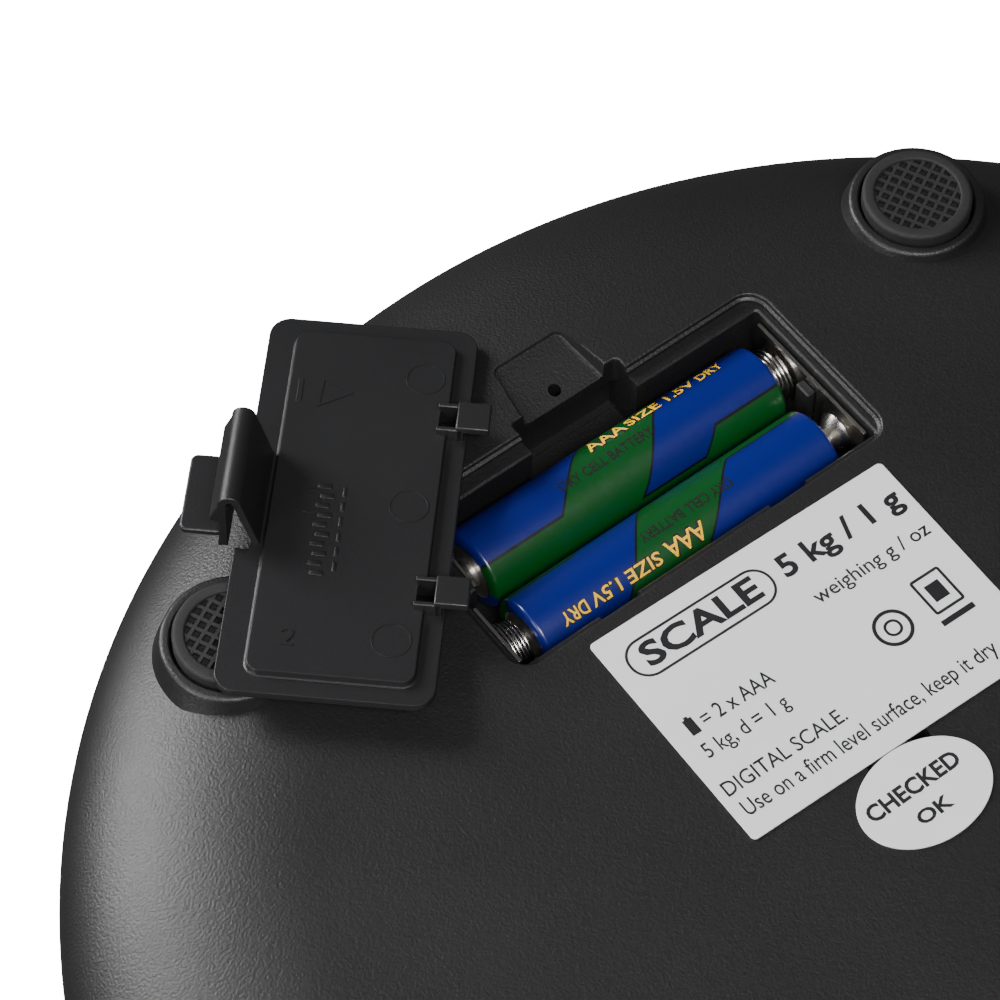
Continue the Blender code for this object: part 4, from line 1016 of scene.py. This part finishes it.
def contact_parts(look):
    nickel = metal("nickel_plate", (0.66, 0.64, 0.60), 0.24, (0.2, 1, 1))
    wire = metal("spring_wire", (0.62, 0.60, 0.57), 0.22, (1, 1, 1))
    group = coil_tree()
    for number, (start, end, y, turns) in enumerate((
            (CELL_1[0] + CELL_HALF + 0.0005, PLATE_X - 0.0005, CELL_1[1], 4.0),
            (CELL_2[0] - CELL_HALF - 0.0005, -PLATE_X + 0.0005, CELL_2[1], 5.0)), 1):
        coil = grow("spring", group, {
            "Turns": turns, "Length": abs(end - start), "Small End": SPRING_RADII[0],
            "Large End": SPRING_RADII[1], "Wire": SPRING_WIRE, "Material": wire})
        facing = -math.pi / 2 if end > start else math.pi / 2
        coil.data.transform(Matrix.Translation((end, y, CELL_Z)) @ Matrix.Rotation(facing, 4, "Y"))
        piece(smooth(coil), f"contact_spring_{number}", "base", [wire], [f"spring_{number}"])
    low, high = PLATE_Z
    line_1, line_2 = CELL_1[1], CELL_2[1]
    plates = (("bridge", PLATE_X, line_2 - PLATE_HALF, line_1 + PLATE_HALF, line_2, -1, 0.0019, 0.0030),
              ("positive", POSITIVE_X, line_1 - PLATE_HALF, line_1 + PLATE_HALF, line_1, 1, 0.0010, 0.0024),
              ("negative", -PLATE_X - PLATE_THICKNESS, line_2 - PLATE_HALF, line_2 + PLATE_HALF,
               None, 1, 0, 0))
    for name, x, y0, y1, dimple_y, facing, reach, root in plates:
        plate = soften(box("plate", (x, y0, low), (x + PLATE_THICKNESS, y1, high)), 0.00012, 2)
        parts = [plate]
        if dimple_y:
            base = x + PLATE_THICKNESS / 2
            cone = turned("dimple", [(0, 0), (root, 0), (root * 0.85, reach * 0.18 + PLATE_THICKNESS / 2),
                                     (0.0013, reach * 0.86 + PLATE_THICKNESS / 2),
                                     (0.0008, reach + PLATE_THICKNESS / 2), (0, reach + PLATE_THICKNESS / 2)],
                          steps=48)
            cone.data.transform(Matrix.Translation((base, dimple_y, CELL_Z))
                                @ Matrix.Rotation(facing * math.pi / 2, 4, "Y"))
            parts.append(cone)
        made = join("plate", parts)
        piece(smooth(made), f"contact_{name}_plate", "base", [nickel], [f"contact_{name}"])


def cover_matrix():
    return (Matrix.Translation(COVER_PLACE) @ Matrix.Rotation(COVER_TURN, 4, "Z")
            @ Matrix.Rotation(-COVER_TILTS[0], 4, "Y") @ Matrix.Rotation(math.pi - COVER_TILTS[1], 4, "X"))


def side_cut(name, outline, half):
    """A (y, z) outline with width along X."""
    rings = [[Vector((x, y, z)) for y, z in outline] for x in (-half, half)]
    return link(name, finish_mesh(name, loft(rings)))


def ring_mark(centre, radius, width=0.00014, height=0.00006):
    """The faint raised ring that an ejector pin leaves."""
    low = PANEL_Z + 0.0001
    high = PANEL_Z - height
    return turned("mark", [(radius - width, low), (radius + width, low), (radius + width * 0.6, high),
                           (radius - width * 0.6, high)], centre, 56, closed=True)


def battery_cover(look):
    half_x, half_y = COVER_HALF
    thickness = COVER_THICKNESS
    plate = slab("plate", (0, 0), COVER_HALF, COVER_CORNER, [
        (-0.00040, 0), (-0.00018, -0.00005), (-0.00005, -0.00018), (0, -0.00040), (0, -thickness + 0.0002),
        (-0.00006, -thickness + 0.00006), (-0.0002, -thickness)])
    notch = slab("notch", (0, half_y), (LATCH_HALF + 0.0008, 0.0018), 0.0004,
                 [(0, -0.004), (0, 0.002)])
    panel_half = (half_x - 0.0024, half_y - 0.0029)
    panel = slab("panel", (0, -0.0005), panel_half, 0.0016, [
        (0.0003, -thickness + 0.0003), (0.0003, -thickness - 0.00002), (0.0001, -thickness - 0.0001),
        (0, -thickness - 0.0003), (0, PANEL_Z + 0.00022), (-0.00006, PANEL_Z + 0.00006), (-0.00022, PANEL_Z)])
    edge = -half_y
    carve(plate, "UNION", [panel])
    slots = [slab("slot", (x, edge + 0.0024), (0.00145, 0.0010), 0.0002, [(0, -0.004), (0, 0.002)], 4)
             for x in (-HOOK_X, HOOK_X)]
    carve(plate, "DIFFERENCE", [notch, *slots])
    parts = [plate]
    for side in (-1, 1):
        for x in (-0.00172, 0.00172):
            parts.append(slab("rib", (side * HOOK_X + x, edge + 0.0020), (0.00028, 0.0016), 0.00012,
                              [(0, -thickness / 2), (0, -0.0030), (-0.0001, -0.0031)], 3))
        hook = side_cut("hook", [
            (edge + 0.0013, -thickness / 2), (edge + 0.0013, -0.0036), (edge - 0.0026, -0.0036),
            (edge - 0.0026, -0.0026), (edge + 0.0004, -0.0026), (edge + 0.0004, -thickness / 2)], 0.0020)
        hook = soften(hook, 0.00022, 3)
        hook.data.transform(Matrix.Translation((side * HOOK_X, 0, 0)))
        parts.append(hook)
    for x, y, radius in PIN_MARKS:
        parts.append(ring_mark((x, y), radius))
    outer = [Vector((-0.0154, 0.0013, 0)), Vector((-0.0174, 0.0051, 0)), Vector((-0.0130, 0.0054, 0))]
    middle = sum(outer, Vector()) / 3
    inner = [middle + (point - middle) * 0.80 for point in outer]
    raised = [(outer, PANEL_Z + 0.0001), (outer, PANEL_Z - 0.00008), (inner, PANEL_Z - 0.00008),
              (inner, PANEL_Z + 0.0001)]
    parts.append(link("mark", finish_mesh("mark", loft(
        [[Vector((p.x, p.y, z)) for p in points] for points, z in raised], closed=True))))
    marks = [(-0.0152, 0.0076, 0.0034, 0.0006)]
    marks += [(-0.0016 + i * 0.00135, 0.0030 - (i % 2) * 0.0004, 0.0007, 0.0016) for i in range(10)]
    marks += [(-0.0010 + i * 0.0021, 0.0007, 0.0014, 0.0004) for i in range(6)]
    for x, y, wide, tall in marks:
        parts.append(slab("mark", (x, y), (wide / 2, tall / 2), 0.00015,
                          [(0, PANEL_Z + 0.0001), (0, PANEL_Z - 0.00007), (-0.00005, PANEL_Z - 0.0001)], 3))
    number = letters("2", 0.0034, (0, 0), turn=-math.pi / 2)
    number.data.transform(Matrix.Translation((*MOULD_NUMBER_PLACE, PANEL_Z - 0.00003))
                          @ Matrix.Rotation(math.pi, 4, "Y")
                          @ Matrix.Scale(NUMBER_HEIGHT_FACTOR, 4, (0, 0, 1)))
    parts.append(number)
    cover = join("cover", parts)
    cover.data.transform(cover_matrix())
    black = moulded("smooth_black_plastic", look.cover_colour, 0.40, 0.00022, 0.000018)
    return piece(smooth(cover), "cover", "battery_cover", [black], ["battery_cover"])


def latch_band(look):
    """The cover's springy latch, one band from the plate round the bend to the finger tab."""
    root = LATCH_ROOT_Y
    y, z, small, large = BEND
    outline = [(root, -0.0007), (root + 0.0003, -0.0016)]
    outline += [(y - large + (root + 0.0003 - y + large) * (1 - t), -0.0016 + (z + 0.0016) * t)
                for t in (0.25, 0.5, 0.75)]
    outline += quarter((y, z), (large, large), 180, 360, 14)
    face = y + large
    outline += [(face, -0.0076), (face + 0.0010, -0.0054), (face + 0.0010, -0.0048), (face, -0.0048),
                (face, -0.0030), (face, -0.0018), (face + 0.0001, -0.0012), (face + 0.0002, -0.0003),
                (y + small, -0.0003)]
    outline += [(y + small, height) for height in (-0.0012, -0.0030, -0.0048, -0.0064)]
    outline += quarter((y, z), (small, small), 360, 180, 10)
    outline += [(root + 0.00125, -0.0018), (root + 0.00105, -0.0007)]
    band = soften(side_cut("band", outline, LATCH_HALF), 0.00016, 3, 50)
    tab = slab("tab", (0, (face - 0.0004 + 0.01895) / 2), (TAB_HALF, (0.01895 - face + 0.0004) / 2), 0.0009, [
        (-0.0003, -0.00032), (-0.00008, -0.00040), (0, -0.0006), (0, -0.0011), (-0.0001, -0.0012),
        (-0.0003, -0.00128)])
    carve(band, "UNION", [tab])
    band.data.transform(cover_matrix())
    black = moulded("latch_plastic", look.cover_colour, 0.42, 0.0003, 0.00003)
    band = smooth(band)
    band.name = band.data.name = "latch_band"
    band.data.materials.clear()
    band.data.materials.append(black)
    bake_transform(band)
    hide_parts("cover_latch")


def stickers(look):
    white = paper("label_film", look.paper_colour)
    black = ink("label_ink", (0.008, 0.008, 0.009))
    label = slab("label", (0, 0), LABEL_HALF, 0.0006, [(0, 0), (0, STICKER - 0.00004), (-0.00004, STICKER)])
    turn = Matrix.Translation((*LABEL_PLACE, STICKER_Z)) @ Matrix.Rotation(LABEL_TURN, 4, "Z")
    label.data.transform(turn)
    piece(smooth(label), "label", "base", [white], ["rating_label"])
    rings = []
    for grown, height in ((0, 0), (0, STICKER - 0.00004), (-0.00004, STICKER)):
        wide, tall = OVAL_HALF[0] + grown, OVAL_HALF[1] + grown
        turns = [2 * math.pi * i / OVAL_STEPS for i in range(OVAL_STEPS)]
        rings.append([Vector((wide * math.cos(t), tall * math.sin(t), height)) for t in turns])
    oval = link("oval", finish_mesh("oval", loft(rings)))
    oval.data.transform(Matrix.Translation((*OVAL_PLACE, STICKER_Z)))
    piece(smooth(oval), "oval_label", "base", [white], ["check_sticker"])

    marks = [frame_of((-0.0089, 0.0101), (0.0101, 0.0026), 0.0025, 0.00032),
             letters("SCALE", 0.0044, (-0.0089, 0.0101), width=0.0162, swell=0.03),
             letters("5 kg / 1 g", 0.0041, (0.0111, 0.0103), width=0.0172, swell=0.026),
             letters("weighing g / oz", 0.0027, (0.0116, 0.0050), width=0.0164),
             letters("= 2 x AAA", 0.0028, (-0.0117, 0.0000), width=0.0098),
             letters("5 kg, d = 1 g", 0.0028, (-0.0131, -0.0034), width=0.0115),
             letters("DIGITAL SCALE.", 0.0027, (-0.0116, -0.0085), width=0.0168),
             letters("Use on a firm level surface, keep it dry", 0.0029, (-0.0019, -0.0116), width=0.0356),
             frame_of((0.0082, -0.0031), (0.0024, 0.0024), 0.00235, 0.00046),
             frame_of((0.0082, -0.0031), (0.0011, 0.0011), 0.00105, 0.00034),
             frame_of((0.0153, -0.0022), (0.0021, 0.0026), 0.0004, 0.00036),
             bar((0.0153, -0.0060), (0.0023, 0.00038)),
             bar((0.0153, -0.0022), (0.0010, 0.0012)),
             bar((-0.0179, 0.0001), (0.0006, 0.0011)),
             bar((-0.0179, 0.0013), (0.00025, 0.0002))]
    text = join("prints", marks)
    text.data.transform(Matrix.Translation((0, 0, STICKER + PRINT / 2 + 0.000002)))
    text.data.transform(turn)
    piece(text, "label_print", "base", [black])
    marks = [letters("CHECKED", 0.0028, (-0.0006, 0.0012), width=0.0128, swell=0.03),
             letters("OK", 0.0023, (-0.0007, -0.0024), width=0.0046, swell=0.03)]
    text = join("prints", marks)
    text.data.transform(Matrix.Translation((*OVAL_PLACE, STICKER_Z + STICKER + PRINT / 2 + 0.000002)))
    piece(text, "oval_print", "base", [black])


def display(look):
    clear = glassy("window_tint", (0.012, 0.013, 0.015), 1.0, 1.0)
    pane = slab("window", WINDOW[:2], WINDOW[2:], 0.0008, [
        (-0.0002, FACE_Z), (0, FACE_Z + 0.0002), (0, FACE_Z + 0.0013), (-0.0001, FACE_Z + 0.0014)])
    piece(smooth(pane), "window_pane", "base", [clear], ["lcd_window"])
    satin = moulded("button_plastic", look.button_colour, 0.42, 0.0002, 0.00002)
    low = FACE_Z - 0.0005
    flange = FACE_Z + WALL + 0.0003
    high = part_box("tare_button")[1].z
    for name, x in (("tare", -BUTTON_X), ("unit", BUTTON_X)):
        profile = [(0, low + 0.00012), (0.0020, low + 0.00006), (0.0034, low)]
        profile += quarter((BUTTON_RADIUS - 0.0005, low + 0.0005), (0.0005, 0.0005), -90, 0, 6)
        profile += [(BUTTON_RADIUS, flange), (BUTTON_RADIUS + 0.0008, flange), (BUTTON_RADIUS + 0.0008, high),
                    (0, high)]
        button = turned("button", profile, (x, BUTTON_Y), 72)
        piece(smooth(button), f"{name}_key", f"{name}_button", [satin], [f"{name}_button"])


def inner_finishes(look):
    zinc = metal("zinc_plate", (0.50, 0.50, 0.50), 0.36, (1, 1, 0.3))
    milled = metal("milled_aluminium", (0.62, 0.62, 0.64), 0.36, (1, 0.06, 1), 0.00001)
    plain = moulded("inner_plastic", (0.05, 0.05, 0.05), 0.5, 0.0003, 0.00002)
    satin = moulded("frame_plastic", look.cover_colour, 0.48, 0.0003, 0.00003)
    white = moulded("silicone", (0.62, 0.62, 0.60), 0.5, 0.0006, 0.00002)
    paint([f"housing_screw_{i}" for i in (1, 2, 3, 4)], zinc)
    paint([f"{kind}_screw_{i}" for kind in ("load_cell", "platform", "board") for i in (1, 2)], zinc)
    paint(["load_cell"], milled)
    paint(["platform_frame"], satin)
    paint(["lcd_holder", "tare_switch", "unit_switch"], plain)
    paint(["gauge_seal_base_side", "gauge_seal_platform_side", "zebra_strip"], white)
    paint(["circuit_board"], board_finish("circuit_board_green", (0.010, 0.090, 0.030)))
    paint(["chip_blob"], moulded("epoxy", (0.008, 0.008, 0.008), 0.28, 0.0008, 0.00003))
    paint(["lcd_glass"], glassy("lcd_grey", (0.27, 0.31, 0.25), 0.6, 140.0))
    paint(["battery_lead_red"], insulation("red_insulation", (0.42, 0.015, 0.015)))
    paint(["battery_lead_black"], insulation("black_insulation", (0.012, 0.012, 0.012)))
    paint(["load_cell_cable"], insulation("grey_insulation", (0.22, 0.22, 0.23)))


def light(name, place, aim, size, power, colour=(1.0, 1.0, 1.0)):
    lamp = bpy.data.lights.new(name, "AREA")
    lamp.shape = "RECTANGLE"
    lamp.size, lamp.size_y = size
    lamp.energy = power
    lamp.color = colour
    obj = bpy.data.objects.new(name, lamp)
    bpy.context.scene.collection.objects.link(obj)
    obj.location = place
    obj.rotation_euler = (Vector(aim) - Vector(place)).to_track_quat("-Z", "Y").to_euler()
    return obj


def stage(look):
    scene = bpy.context.scene
    cove = [(0, 0), (1.5, 0)]
    cove += quarter((COVE[0], COVE[1]), (COVE[1], COVE[1]), -90, 0, 24)
    cove += quarter((0, COVE[1]), (COVE[0] + COVE[1], COVE[2]), 4, 90, 24)
    floor = turned("floor", cove, steps=96)
    floor.data.flip_normals()
    floor.data.shade_smooth()
    white = Finish("studio_floor")
    vector, (x, y, _) = white.place()
    cloud = white.noise(9.0, 2.0, vector)
    # painted shadow: the floor's glow is darkened close round the centre, where the scale stands, in place of
    # a cast shadow
    contact = white.range((x * x + y * y).root(), *PAINTED_CONTACT_SHADOW)
    white.set("Base Color", white.mix(cloud, shade(look.floor_colour, 0.985), solid(look.floor_colour)))
    white.set("Roughness", 0.9)
    white.set("Emission Color", white.mix(contact, shade(look.floor_colour, 0.02), solid(look.floor_colour)))
    white.set("Emission Strength", look.floor_glow)
    floor.data.materials.append(white.material)
    floor.visible_diffuse = False
    floor.visible_glossy = False

    world = bpy.data.worlds.new("studio")
    scene.world = world
    world.use_nodes = True
    back = world.node_tree.nodes["Background"]
    back.inputs[0].default_value = (1.0, 1.0, 1.0, 1.0)
    back.inputs[1].default_value = look.sky_strength
    aim = (0, 0, 0.02)
    light("key", (-0.25, -0.55, 1.00), aim, (0.5, 0.4), look.light_power)
    light("rear_softbox", (-0.34, 0.82, 0.50), aim, (0.36, 0.50), look.light_power * 0.85)
    light("left_fill", (-0.95, -0.02, 0.34), aim, (0.45, 1.0), look.light_power * 0.7)

    lens = bpy.data.cameras.new("camera")
    lens.lens = LENS
    lens.sensor_width = 36.0
    lens.clip_start = 0.01
    camera = bpy.data.objects.new("camera", lens)
    scene.collection.objects.link(camera)
    camera.location = CAMERA_PLACE
    camera.rotation_euler = (Vector(CAMERA_AIM) - camera.location).to_track_quat("-Z", "Y").to_euler()
    scene.camera = camera


# Controls

def colour(name, description, default):
    return bpy.props.FloatVectorProperty(name=name, description=description, default=default, subtype="COLOR",
                                         size=3, min=0.0, max=1.0)


class ScaleShape(bpy.types.PropertyGroup):
    """Sizes that a user may change."""

    edge_rounding: bpy.props.FloatProperty(
        name="Opening edge", description="Rounding where an opening meets the underside", default=0.0003,
        min=0.0001, max=0.0006, unit="LENGTH")
    grain: bpy.props.FloatProperty(
        name="Grain", description="Size of the moulded texture on the housing", default=0.00034,
        min=0.0001, max=0.002, unit="LENGTH")
    rib_count: bpy.props.IntProperty(
        name="Foot ribs", description="Ribs each way across a rubber foot", default=7, min=3, max=12)
    housing_colour: colour("Housing", "Colour of the two housing shells", (0.0070, 0.0066, 0.0070))
    cover_colour: colour("Cover", "Colour of the battery cover and weighing disc", (0.0092, 0.0092, 0.0100))
    foot_colour: colour("Feet", "Colour of the rubber feet", (0.0052, 0.0052, 0.0052))
    button_colour: colour("Buttons", "Colour of the two keys", (0.030, 0.030, 0.031))
    cell_colour: colour("Cell film", "Ground colour of the cells", (0.0005, 0.0055, 0.125))
    patch_colour: colour("Cell patch", "Colour of the patch on the cells", (0.0, 0.055, 0.0))
    print_colour: colour("Cell print", "Colour of the large print on the cells", (0.780, 0.440, 0.003))
    paper_colour: colour("Labels", "Colour of the stickers", (0.62, 0.62, 0.635))


class ScaleStage(bpy.types.PropertyGroup):
    """Light and floor."""

    floor_colour: colour("Floor", "Colour of the floor", (0.95, 0.95, 0.95))
    floor_glow: bpy.props.FloatProperty(
        name="Floor glow", description="Light given off by the floor", default=20.0, min=0.0, max=40.0)
    sky_strength: bpy.props.FloatProperty(
        name="Surround", description="Strength of the light from all round", default=0.07, min=0.0, max=10.0)
    light_power: bpy.props.FloatProperty(
        name="Key light", description="Power of the overhead light", default=16.0, min=0.0, max=500.0,
        unit="POWER")


class Build:
    """What every operator here shares."""

    bl_options = {"REGISTER", "UNDO"}

    def run(self, *makers):
        for maker in makers:
            maker(bpy.context.scene.scale_shape)
        return {"FINISHED"}


class SCALE_OT_housing(Build, bpy.types.Operator):
    """Builds the base shell with its compartment and foot bosses, and the shell round the platform"""

    bl_idname = "scale.housing"
    bl_label = "Housing"

    def execute(self, context):
        return self.run(housing, top_housing)


class SCALE_OT_disc(Build, bpy.types.Operator):
    """Builds the weighing disc"""

    bl_idname = "scale.disc"
    bl_label = "Weighing disc"

    def execute(self, context):
        return self.run(weighing_disc)


class SCALE_OT_feet(Build, bpy.types.Operator):
    """Builds the four ribbed rubber feet"""

    bl_idname = "scale.feet"
    bl_label = "Feet"

    def execute(self, context):
        return self.run(feet)


class SCALE_OT_cells(Build, bpy.types.Operator):
    """Builds the two dry cells and their print"""

    bl_idname = "scale.cells"
    bl_label = "Cells"

    def execute(self, context):
        return self.run(dry_cells)


class SCALE_OT_contacts(Build, bpy.types.Operator):
    """Builds the contact plates and springs"""

    bl_idname = "scale.contacts"
    bl_label = "Contacts"

    def execute(self, context):
        return self.run(contact_parts)


class SCALE_OT_cover(Build, bpy.types.Operator):
    """Builds the battery cover and its latch"""

    bl_idname = "scale.cover"
    bl_label = "Battery cover"

    def execute(self, context):
        return self.run(battery_cover, latch_band)


class SCALE_OT_stickers(Build, bpy.types.Operator):
    """Builds the two stickers and their print"""

    bl_idname = "scale.stickers"
    bl_label = "Stickers"

    def execute(self, context):
        return self.run(stickers)


class SCALE_OT_display(Build, bpy.types.Operator):
    """Builds the window and the keys of the hidden side"""

    bl_idname = "scale.display"
    bl_label = "Display and keys"

    def execute(self, context):
        return self.run(display)


class SCALE_OT_inside(Build, bpy.types.Operator):
    """Gives the parts inside their finishes"""

    bl_idname = "scale.inside"
    bl_label = "Inner parts"

    def execute(self, context):
        return self.run(inner_finishes)


class SCALE_OT_stage(bpy.types.Operator):
    """Sets out the floor, the lights and the camera"""

    bl_idname = "scale.stage"
    bl_label = "Stage"
    bl_options = {"REGISTER", "UNDO"}

    def execute(self, context):
        stage(context.scene.scale_stage)
        return {"FINISHED"}


OPERATORS = (SCALE_OT_housing, SCALE_OT_disc, SCALE_OT_feet, SCALE_OT_cells, SCALE_OT_contacts,
             SCALE_OT_cover, SCALE_OT_stickers, SCALE_OT_display, SCALE_OT_inside, SCALE_OT_stage)


class SCALE_PT_panel(bpy.types.Panel):
    """Sizes, colours and builders of the kitchen scale"""

    bl_idname = "SCALE_PT_panel"
    bl_label = "Kitchen scale"
    bl_space_type = "VIEW_3D"
    bl_region_type = "UI"
    bl_category = "Scale"

    def draw(self, context):
        for group in (context.scene.scale_shape, context.scene.scale_stage):
            for key in type(group).__annotations__:
                self.layout.prop(group, key)
        for operator in OPERATORS:
            self.layout.operator(operator.bl_idname)


CLASSES = (ScaleShape, ScaleStage, *OPERATORS, SCALE_PT_panel)


def register():
    for item in CLASSES:
        bpy.utils.register_class(item)
    bpy.types.Scene.scale_shape = bpy.props.PointerProperty(type=ScaleShape)
    bpy.types.Scene.scale_stage = bpy.props.PointerProperty(type=ScaleStage)


def unregister():
    del bpy.types.Scene.scale_stage
    del bpy.types.Scene.scale_shape
    for item in reversed(CLASSES):
        bpy.utils.unregister_class(item)


def main():
    register()
    for operator in OPERATORS:
        family, action = operator.bl_idname.split(".")
        getattr(getattr(bpy.ops, family), action)()


if __name__ == "__main__":
    main()
